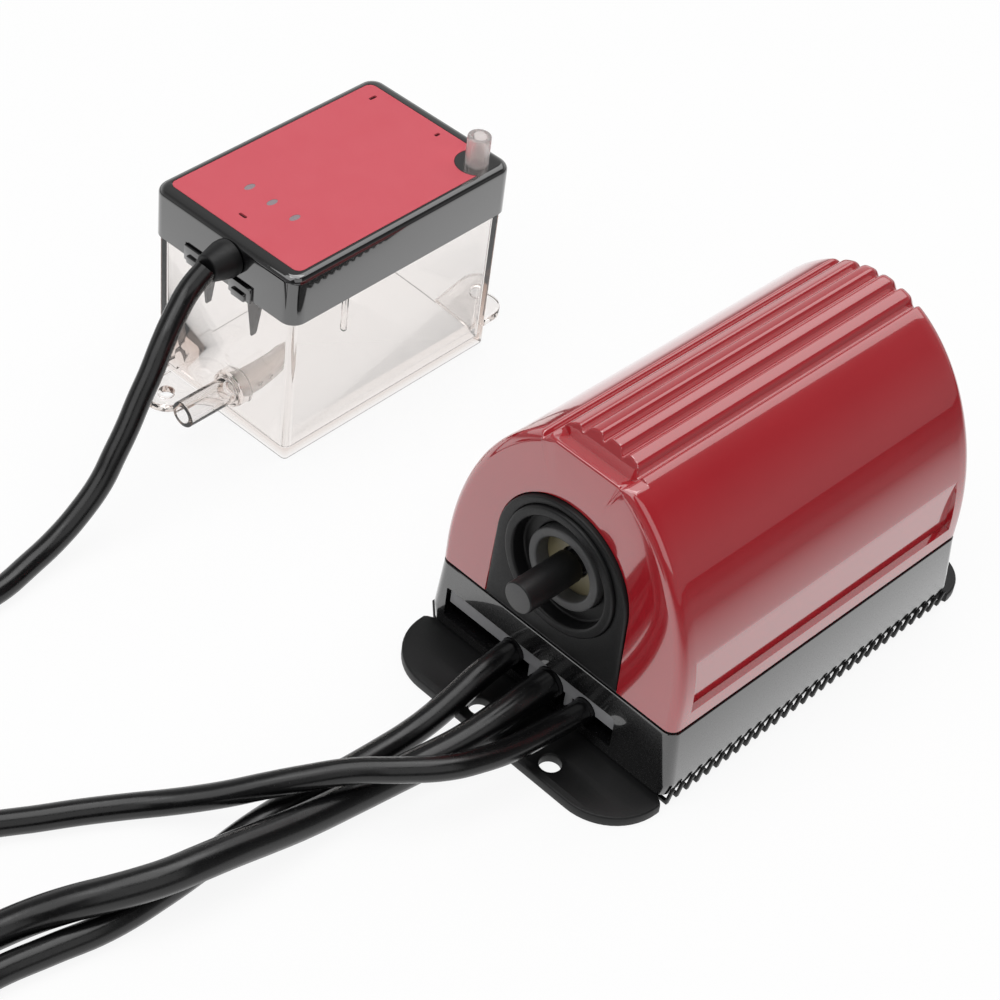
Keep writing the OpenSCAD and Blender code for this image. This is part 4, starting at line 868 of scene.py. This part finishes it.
# %% [markdown]
# ## Bare ends of the mains and alarm leads
# An installer wires these leads, so each ends in stripped cores: brown, blue and green-yellow for
# the mains, two plain ones for the alarm contact. A tinned tip shows beyond each core's insulation.

# %% Cores
def metal(name, colour, roughness, grain_mm, depth_mm=0.004, stretch=(1, 1, 1)):
    """Bare metal: a worked surface whose scratches or draw lines lie along one way."""
    material, tree, place = start_material(name)
    along = add_node(tree, "ShaderNodeMapping", {"Scale": stretch}, {"Vector": place})
    grain = add_node(tree, "ShaderNodeTexNoise", {"Scale": 1/(grain_mm*MM), "Detail": 3.0},
                     {"Vector": along.outputs["Vector"]})
    gloss = add_node(tree, "ShaderNodeMapRange", {"To Min": 0.8*roughness, "To Max": 1.2*roughness},
                     {"Value": grain.outputs["Fac"]})
    relief = add_node(tree, "ShaderNodeBump", {"Strength": 0.4, "Distance": depth_mm*MM},
                      {"Height": grain.outputs["Fac"]})
    shader = add_node(tree, "ShaderNodeBsdfPrincipled", {"Base Color": linear(colour), "Metallic": 1.0},
                      {"Roughness": gloss.outputs["Result"], "Normal": relief.outputs["Normal"]})
    show_shader(tree, shader)
    return material


ground_steel = metal("ground_steel", "#B9BABC", 0.3, 0.25, stretch=(1, 0.15, 1))
drawn_brass = metal("drawn_brass", "#C9AE5D", 0.25, 0.3, stretch=(1, 0.1, 1))
enamelled_copper = metal("enamelled_copper", "#B4673A", 0.3, 0.4, 0.05, stretch=(0.2, 1, 0.2))


core_d, core_pitch, core_end, tip_end, tip_share = 2.2, 2.5, 16, 24, 0.3


def bare_cores(name, cord_line, diameter, finishes):
    """Cores side by side beyond a cord's end, each with a tinned tip."""
    tip, before = Vector(cord_line[-1])/MM, Vector(cord_line[-2])/MM
    way = (tip - before).normalized()
    across = way.cross(Vector((0, 0, 1)))
    parts = []
    for i, finish in enumerate(finishes):
        start = tip + across*(i - (len(finishes) - 1)/2)*core_pitch
        for r, a, b, dress in ((diameter/2, 0, core_end, finish),
                               (diameter*tip_share, core_end, tip_end, ground_steel)):
            profile = [(0, a), (r*0.8, a), (r, a + 0.25), (r, b - 0.25), (r*0.8, b), (0, b)]
            part = turned("core", profile, (0, 0), "Z", [dress], 20, closed=False)
            aim = Matrix.Translation(start*MM) @ way.to_track_quat("Z", "Y").to_matrix().to_4x4()
            part.data.transform(aim)
            parts.append(part)
    return joined(name, parts)


mains_ends = bare_cores("mains_core_ends", mains_line, core_d, [brown_pvc, blue_pvc, green_pvc])
alarm_ends = bare_cores("alarm_core_ends", alarm_line, core_d, [brown_pvc, blue_pvc])
stands_for(mains_ends, "core_brown", "mains_cores")
stands_for(alarm_ends, "core_grey", "alarm_cores")

# %% [markdown]
# ## Clear reservoir
# The reservoir is moulded in clear SAN, a stiff polystyrene that stays transparent in water. Clear
# plastic only looks right as a closed wall of its real thickness, because light bends once as it
# enters and once as it leaves. So the body is one solid: walls, floor, ears and spigot are joined.
# The plastic takes a little light on its way through, so deep views along a wall turn warm grey. The
# foot's outer edge is painted a grey, half-clear band, which is painted shade along the line where the tank
# meets the floor.

# %% Clear plastics
# what a deep wall lets through, as shares of linear light
wall_tint = (0.88, 0.83, 0.80, 1)


def clear(name, colour, roughness, ior, grain_mm, clarity=1.0, absorb=0.0, flow_mm=0.02):
    """Clear or milky plastic with the faint waves of its flow. With absorb, it tints what it lets through."""
    material, tree, place = start_material(name)
    flow = add_node(tree, "ShaderNodeTexNoise", {"Scale": 1/(grain_mm*MM), "Detail": 2.0}, {"Vector": place})
    relief = add_node(tree, "ShaderNodeBump", {"Strength": 0.25, "Distance": flow_mm*MM},
                      {"Height": flow.outputs["Fac"]})
    shader = add_node(tree, "ShaderNodeBsdfPrincipled",
                      {"Base Color": linear(colour), "Roughness": roughness, "IOR": ior,
                       "Transmission Weight": clarity},
                      {"Normal": relief.outputs["Normal"]})
    output = add_node(tree, "ShaderNodeOutputMaterial", {}, {"Surface": shader.outputs[0]})
    if absorb:
        depth = add_node(tree, "ShaderNodeVolumeAbsorption", {"Color": wall_tint, "Density": absorb})
        tree.links.new(depth.outputs[0], output.inputs["Volume"])
    return material


clear_san = clear("clear_san", "#FFFFFF", 0.02, 1.5, 12, absorb=200.0, flow_mm=0.003)
natural_pp = clear("natural_polypropylene", "#FDF8F5", 0.5, 1.25, 3, clarity=0.92)
# a grey, half-clear finish for the tank foot's outer edge: painted shade for the dark band along the foot
foot_shade_san = clear("san_foot_painted_shade", "#8F8B89", 0.4, 1.4, 2, clarity=0.4)
milky_pp = clear("milky_polypropylene", "#F8F3F1", 0.2, 1.35, 3, clarity=0.75)

# %% Reservoir body
lid_w, lid_l, lid_z, lid_top, lid_r, lid_wall = 52.6, 79.4, 45.8, 60.8, 4.2, 1.2
rim_gap = 0.2
rim_w = lid_w - 2*lid_wall - 2*rim_gap
rim_l = lid_l - 2*lid_wall - 2*rim_gap
rim_z = lid_z + 4
tank_r, wall_r, tank_wall, tank_floor, tank_draft = 2.8, 1.2, 1.8, 2.6, 0.4
tank_end = -rim_l/2


def tank_ring(z, inset, r):
    """A level of the tank, whose walls lean in towards the foot by the mould's draft."""
    inset = tank_draft*(1 - z/rim_z) + inset
    return ring_at(round_rect(rim_w - 2*inset, rim_l - 2*inset, r, 6), z)


def to_tank(piece):
    piece.data.transform(TANK)
    return piece


# each level: its height, how far it lies inside the drafted wall, and its corner radius
tank_levels = [(0, 0.5, wall_r), (0.15, 0.15, wall_r), (0.6, 0, wall_r), (lid_z - 0.5, 0, wall_r),
               (lid_z + 0.8, 0, tank_r), (rim_z - 0.3, 0, tank_r), (rim_z, 0.3, tank_r),
               (rim_z, tank_wall - 0.3, tank_r - 1), (rim_z - 0.3, tank_wall, tank_r - 1),
               (lid_z, tank_wall, wall_r), (tank_floor + 1, tank_wall, wall_r),
               (tank_floor + 0.3, tank_wall + 0.3, wall_r), (tank_floor, tank_wall + 1, wall_r)]
tank = skin("clear_reservoir", [tank_ring(*level) for level in tank_levels], [clear_san])
ear_x, ear_r, ear_hole_r, ear_t = 14, 6, 2.1, 2.4
ears = [(-ear_x, -(rim_l/2 - tank_draft + 6.5), -1), (ear_x, rim_l/2 - tank_draft + 9, 1)]
for x, y, side in ears:
    inner = side*(rim_l/2 - 1.6)
    half = arc(x, y, ear_r, 90 - 90*side, 270 - 90*side, 20)
    ends = [(x - side*ear_r, inner), (x + side*ear_r, inner)]
    ear = plate("ear", [half + ends, arc(x, y, ear_hole_r, 0, 345, 23)], 0.01, ear_t, [clear_san], edge=0.3)
    carve(tank, ear, "UNION")

# %% Reservoir outlet, rib and the foot's painted shade
spigot_x, spigot_z, tank_spigot_r, tank_bore = 2.3, 10, 3.7, 2.4
spigot_end = tank_end - 15.4
seat_y, seat_r = tank_end - 0.2, tank_spigot_r + 1.3
socket_y, socket_r = tank_end + 1.2, tank_spigot_r + 1.6
tank_pipe = [(0.0, spigot_end), (tank_spigot_r, spigot_end), (tank_spigot_r, seat_y), (seat_r, seat_y),
             (seat_r, socket_y), (socket_r, socket_y), (socket_r, tank_end + 6), (0.0, tank_end + 6)]
pipe = turned("pipe", rounded(tank_pipe, 0.35, 3, closed=False), (spigot_x, spigot_z), "Y", [clear_san],
              48, closed=False)
carve(tank, pipe, "UNION")
bore_line = [(0.0, spigot_end - 2), (tank_bore, spigot_end - 2), (tank_bore, tank_end + 2.6),
             (tank_spigot_r, tank_end + 2.6), (tank_spigot_r, tank_end + 7), (0.0, tank_end + 7)]
bore = turned("bore", bore_line, (spigot_x, spigot_z), "Y", [clear_san], 48, closed=False)
carve(tank, bore)
rib = plate("rib", [round_rect(1.3, 1.4, 0.3, 2, rim_w/2 - tank_draft - tank_wall - 0.4, -17.8)],
            lid_z - 13, lid_z - 2, [clear_san], edge=0.2)
carve(tank, rib, "UNION")
# The faces along the foot's outer edge take the grey finish, which is painted shade where the tank meets the
# floor.
foot_shade_h, foot_shade_band = 0.75, 1.2
tank.data.materials.append(foot_shade_san)
for face in tank.data.polygons:
    x, y, z = face.center/MM
    outside = max(abs(x) - rim_w/2, abs(y) - rim_l/2)
    if z < foot_shade_h and outside > -foot_shade_band and abs(y) < rim_l/2:
        face.material_index = 1
stands_for(to_tank(tank), "clear_plastic", "reservoir_body")
print("reservoir faces:", len(tank.data.polygons))

# %% [markdown]
# A slotted tube of natural polypropylene keeps grit out of the suction line. The level probes hang
# from the lid and end in a point, so that the last drop leaves them.

# %% Filter tube and probes
tube_y = tank_end + 2.8
tube_l = 17
tube_slots, slot_start, slot_pitch = 3, 7.5, 3
tube_line = [(0.0, tube_y + tube_l), (tank_spigot_r - 0.05, tube_y + tube_l), (tank_spigot_r - 0.05, tube_y),
             (tank_bore, tube_y), (tank_bore, tube_y + tube_l - 1), (0.0, tube_y + tube_l - 1)]
filter_tube = turned("slotted_tube", rounded(tube_line, 0.3, 2, closed=False), (spigot_x, spigot_z), "Y",
                     [natural_pp], 40, closed=False)
cuts = []
for i in range(tube_slots):
    line = round_rect(12, 1, 0.2, 1, spigot_x, tube_y + slot_start + slot_pitch*i)
    cuts.append(plate("cut", [line], spigot_z - 0.5, spigot_z + 0.5, [natural_pp]))
carve(filter_tube, joined("cuts", cuts))
stands_for(to_tank(filter_tube), "filter_plastic", "filter_tube")

probe_y = tank_end + tank_wall + 1.4
probe_t = 1.6
probe_places = (8, -9)
probes = []
for x in probe_places:
    blade = [(x - 2, rim_z + 2), (x - 2, lid_z - 5), (x - 0.3, lid_z - 15), (x + 0.3, lid_z - 15),
             (x + 2, lid_z - 5), (x + 2, rim_z + 2)]
    probes.append(plate("probe", [blade], probe_y, probe_y + probe_t, [epdm], edge=0.15, along="Y"))
stands_for(to_tank(joined("probe_blades", probes)), "steel", "level_probes")

# %% [markdown]
# ## Sensor lid
# The lid is a shallow black cap with softly rounded top edges. A red label film lies in a recess on
# top, with three small windows for its lamps. A clear vent spigot stands in a corner, and the
# sensor lead enters the end wall through a tapered rubber gland between two snap clips.

# %% Lid with its label recess
def lid_ring(z, inset, r):
    return ring_at(round_rect(lid_w - 2*inset, lid_l - 2*inset, r), z)


lid_edge = 2.0
lid_end = -lid_l/2
clip_places = (-9, 7.6)
lid_rings = [lid_ring(lid_z + 0.3, lid_wall, lid_r - lid_wall), lid_ring(lid_z, lid_wall - 0.3, lid_r - 1),
             lid_ring(lid_z, 0.3, lid_r - 0.3), lid_ring(lid_z + 0.3, 0, lid_r)]
for i in range(7):
    a = math.radians(90*i/6)
    lid_rings.append(lid_ring(lid_top - lid_edge + lid_edge*math.sin(a), lid_edge*(1 - math.cos(a)),
                              lid_r - 0.8*lid_edge*(1 - math.cos(a))))
lid_roof = lid_ring(lid_top - 2.4, lid_wall, lid_r - lid_wall)
lid = skin("black_lid", [lid_roof, *lid_rings], [black_abs])
vent_x, vent_y = lid_w/2 - 6.6, lid_l/2 - 7.6
bite_r = 5.95
label_half_w, label_half_l, label_r = 23.7, 36.1, 2


def label_line(grow):
    """Outline of the label, with a round bite at the vent's corner."""
    half_x, half_y = label_half_w + grow, label_half_l + grow
    r = bite_r - grow
    right = math.degrees(math.acos((half_x - vent_x)/r))
    top = math.degrees(math.asin((half_y - vent_y)/r))
    return (arc(-half_x + label_r, half_y - label_r, label_r, 90, 180, 4)
            + arc(-half_x + label_r, -half_y + label_r, label_r, 180, 270, 4)
            + arc(half_x - label_r, -half_y + label_r, label_r, 270, 360, 4)
            + arc(vent_x, vent_y, r, 360 - right, 180 - top, 24))


recess = plate("recess", [label_line(0.15)], lid_top - 0.5, lid_top + 1, [black_abs])
carve(lid, recess)
for x in clip_places:
    notch = plate("notch", [round_rect(8.4, 4.2, 0.3, 2, x, lid_end + 1.1)], lid_z - 1, lid_z + 4.5,
                  [black_abs])
    carve(lid, notch)
stands_for(to_tank(lid), "lid_plastic", "sensor_lid")

# %% [markdown]
# The label is polyester film with its colour printed on the back, so the eye sees the ink through a
# thin, slightly satin sheet. The lamp windows are left unprinted and look grey while the lamps are
# off.

# %% Label, windows and slots
label_film = moulded("back_printed_polyester_film", "#CF5661", "#D35B66", 0.35, 6, 0.002, ior=1.45)
window_film = moulded("unprinted_window_film", "#8F8388", "#9A8E92", 0.3, 0.3, 0.002, ior=1.57)
label_low = lid_top - 0.49
windows = [(-9.8, -21.2), (-1.4, -21.3), (6.9, -21.3)]
slots = [(-18.4, 31.7, 1.0, 2.6), (-2.0, -30.8, 2.6, 1.0), (4.4, 33.0, 1.0, 1.8)]
window_rx, window_ry = 0.95, 1.75
around = [math.radians(15*i) for i in range(24)]
lamp_holes = [[(x + window_rx*math.cos(a), y + window_ry*math.sin(a)) for a in around] for x, y in windows]
slot_holes = [round_rect(w, l, 0.35, 2, x, y) for x, y, w, l in slots]
label = plate("label_film", [label_line(0), *lamp_holes, *slot_holes], label_low, lid_top + 0.01,
              [label_film])
stands_for(to_tank(label), "label_red", "lid_label")
lamp_parts = [plate("lamp", [hole], label_low, lid_top - 0.06, [window_film]) for hole in lamp_holes]
stands_for(to_tank(joined("lamp_windows", lamp_parts)), "window_grey", "label_windows")

# %% Clips, gland and vent
clip_parts = []
clip_low = lid_z - 0.4
for x in clip_places:
    clip_parts.append(plate("tongue", [round_rect(8, 1.8, 0.3, 2, x, lid_end + 0.1)], clip_low, lid_z + 4.2,
                            [black_abs], edge=0.25))
    clip_parts.append(plate("hook", [round_rect(4.8, 1.2, 0.3, 2, x, lid_end - 0.9)], clip_low, lid_z + 1.8,
                            [black_abs], edge=0.25))
stands_for(to_tank(joined("snap_clips", clip_parts)), "lid_plastic", "lid_clips")

lead_r = sensor_d/MM/2
gland_line = [(0.0, lid_end + 3), (lead_r + 0.95, lid_end + 3), (lead_r + 0.95, lid_end - 0.2),
              (lead_r + 2, lid_end - 0.2), (lead_r + 2, lid_end - 2.4), (lead_r + 0.6, lid_end - 8),
              (0.0, lid_end - 8)]
gland = turned("tapered_gland", rounded(gland_line, 0.5, 3, closed=False), (gland_x, gland_z), "Y", [epdm],
               48, closed=False)
stands_for(to_tank(gland), "boot_rubber", "lead_gland")

vent_low, vent_high = [corner/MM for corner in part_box("vent_spigot")]
vent_r = 3.2
vent_wall = 1.2
vent_line = rounded([(vent_r - 0.2, vent_low.z), (vent_r - 0.2, lid_top), (vent_r, lid_top),
                     (vent_r, vent_high.z), (vent_r - vent_wall, vent_high.z),
                     (vent_r - vent_wall, vent_low.z)], 0.5, 3)
vent = turned("vent_pipe", vent_line, (vent_x, vent_y), "Z", [milky_pp], 48)
stands_for(to_tank(vent), "clear_plastic", "vent_spigot")

# %% [markdown]
# ## Pieces inside the housings
# The coil, piston, valves and circuit boards are hidden by the covers. Their engineering solids
# already have the right shape, so they stay and only get the finish of what each is made of.

# %% Finishes of the inner pieces
board_epoxy = moulded("green_solder_mask", "#2F6B45", "#27603C", 0.3, 2.5, 0.02)
red_silicone = moulded("red_silicone", "#8C2D24", "#96342A", 0.5, 0.5, 0.01)
inner_finishes = {
    nylon_cream: ("valve_block", "inlet_block", "coil_bobbin", "thermal_cutout"),
    drawn_brass: ("guide_tube",),
    ground_steel: ("piston", "drive_spring", "return_spring", "piston_ball_spring", "outlet_ball_spring",
                   "magnet_yoke", "pole_rings", "cover_screws", "board_screws", "clamp_screws"),
    enamelled_copper: ("coil_winding",),
    red_silicone: ("piston_ball", "outlet_ball"),
    epdm: ("core_seals", "lid_gasket"),
    pvc: ("lead_bushes",),
    board_epoxy: ("control_board", "sensor_board"),
    relay_pbt: ("relay",),
    film_capacitor: ("capacitor",),
    terminal_pa: ("terminal_block",),
}
for finish, names in inner_finishes.items():
    for name in names:
        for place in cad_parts[name].material_slots:
            place.material = finish
print("inner pieces:", sum(len(names) for names in inner_finishes.values()))

# %% [markdown]
# The piston hangs between two springs. Each spring's solid is copied into a piece of its own, and
# the solid itself is hidden; the copies keep the shape they have in the engineering model. The small
# springs behind the check balls keep their length.

# %% Copies of the two springs
for name, seat, tip in (("drive_spring", 1, 0), ("return_spring", 0, 1)):
    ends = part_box(name)
    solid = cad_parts[name]
    coil = bpy.data.objects.new(name + "_coil", solid.data.copy())
    bpy.context.collection.objects.link(coil)
    coil.data.transform(solid.matrix_world)
    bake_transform(coil)
    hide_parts(name)

# %% [markdown]
# ## Floor and light
# The object stands on a white sweep under large soft lamps. The camera sees the floor as white, and
# so does clear plastic, through Light Path, while a share of its real diffuse shade keeps the
# shadows under the object. Gloss sees a white floor near the object that falls off to the right and
# far away, as if dark flags stood there: these edges draw the long reflections on the cover and the
# skirt. The room is dimmer overhead, on the right and in front, for the same reason.

# %% Studio floor
white_share = 0.9
paper_shade = (0.92, 0.92, 0.92, 1)
fall_to_right = {"From Min": 0.06, "From Max": 0.2, "To Min": 1.0, "To Max": 0.12}
fall_far_away = {"From Min": 0.3, "From Max": 0.5, "To Min": 1.0, "To Max": 0.15}
paper, tree, place = start_material("white_studio_paper")
ray = add_node(tree, "ShaderNodeLightPath")
seen = add_node(tree, "ShaderNodeMath", {"operation": "MAXIMUM"},
                {0: ray.outputs["Is Camera Ray"], 1: ray.outputs["Is Glossy Ray"]})
seen = add_node(tree, "ShaderNodeMath", {"operation": "MAXIMUM"},
                {0: seen.outputs[0], 1: ray.outputs["Is Transmission Ray"]})
share = add_node(tree, "ShaderNodeMath", {"operation": "MULTIPLY", 1: white_share}, {0: seen.outputs[0]})
across = add_node(tree, "ShaderNodeSeparateXYZ", {}, {0: place})
flag = add_node(tree, "ShaderNodeMapRange", fall_to_right, {"Value": across.outputs["X"]})
straight = add_node(tree, "ShaderNodeMath", {"operation": "MAXIMUM"},
                    {0: ray.outputs["Is Camera Ray"], 1: ray.outputs["Is Transmission Ray"]})
far = add_node(tree, "ShaderNodeVectorMath", {"operation": "LENGTH"}, {0: place})
edge = add_node(tree, "ShaderNodeMapRange", fall_far_away, {"Value": far.outputs["Value"]})
lit = add_node(tree, "ShaderNodeMath", {"operation": "MULTIPLY"},
               {0: flag.outputs["Result"], 1: edge.outputs["Result"]})
level = add_node(tree, "ShaderNodeMath", {"operation": "MAXIMUM"},
                 {0: straight.outputs[0], 1: lit.outputs[0]})
matt = add_node(tree, "ShaderNodeBsdfDiffuse", {"Color": paper_shade})
white = add_node(tree, "ShaderNodeEmission", {"Color": (1, 1, 1, 1)}, {"Strength": level.outputs[0]})
show_shader(tree, add_node(tree, "ShaderNodeMixShader", {},
                           {0: share.outputs[0], 1: matt.outputs[0], 2: white.outputs[0]}))
floor_mesh = bpy.data.meshes.new("studio_floor")
reach = 4.0
floor_mesh.from_pydata([(-reach, -reach, 0), (reach, -reach, 0), (reach, reach, 0), (-reach, reach, 0)], [],
                       [(0, 1, 2, 3)])
floor_mesh.materials.append(paper)
floor = bpy.data.objects.new("studio_floor", floor_mesh)
bpy.context.collection.objects.link(floor)

# %% Room and lamps
fall_overhead = {"From Min": 0.15, "From Max": 0.6, "To Min": 0.9, "To Max": 0.25}
fall_on_right = {"From Min": 0.0, "From Max": 0.55, "To Min": 1.0, "To Max": 0.25}
fall_in_front = {"From Min": -0.8, "From Max": -0.2, "To Min": 0.3, "To Max": 1.0}
room = bpy.data.worlds.new("studio_room")
bpy.context.scene.world = room
room.use_nodes = True
tree = room.node_tree
tree.nodes.clear()
ray = add_node(tree, "ShaderNodeLightPath")
look = add_node(tree, "ShaderNodeTexCoord")
height = add_node(tree, "ShaderNodeSeparateXYZ", {}, {0: look.outputs["Generated"]})
fade = add_node(tree, "ShaderNodeMapRange", fall_overhead, {"Value": height.outputs["Z"]})
flag = add_node(tree, "ShaderNodeMapRange", fall_on_right, {"Value": height.outputs["X"]})
front_flag = add_node(tree, "ShaderNodeMapRange", fall_in_front, {"Value": height.outputs["Y"]})
flags = add_node(tree, "ShaderNodeMath", {"operation": "MULTIPLY"},
                 {0: flag.outputs["Result"], 1: front_flag.outputs["Result"]})
graded = add_node(tree, "ShaderNodeMath", {"operation": "MULTIPLY"},
                  {0: fade.outputs["Result"], 1: flags.outputs[0]})
straight = add_node(tree, "ShaderNodeMath", {"operation": "MAXIMUM"},
                    {0: ray.outputs["Is Camera Ray"], 1: ray.outputs["Is Transmission Ray"]})
plain = add_node(tree, "ShaderNodeMath", {"operation": "MAXIMUM"},
                 {0: graded.outputs[0], 1: straight.outputs[0]})
room_light = add_node(tree, "ShaderNodeBackground", {"Color": (1, 1, 1, 1)}, {"Strength": plain.outputs[0]})
add_node(tree, "ShaderNodeOutputWorld", {}, {"Surface": room_light.outputs[0]})


def soft_lamp(name, place, target, size, power):
    """A square soft box that looks at a target."""
    lamp = bpy.data.lights.new(name, "AREA")
    lamp.size = size
    lamp.energy = power
    box = bpy.data.objects.new(name, lamp)
    box.location = place
    box.rotation_euler = (Vector(target) - Vector(place)).to_track_quat("-Z", "Y").to_euler()
    bpy.context.collection.objects.link(box)


middle = (-0.05, -0.03, 0.03)
soft_lamp("key_box", (-0.2, -0.9, 1.1), middle, 1.2, 6.5)
soft_lamp("fill_box", (1.0, -0.45, 0.9), middle, 1.2, 3.5)
soft_lamp("rear_box", (-0.1, 0.75, 1.15), middle, 1.1, 4.5)
soft_lamp("top_box", (-0.1, 0.05, 1.4), middle, 1.1, 8.0)
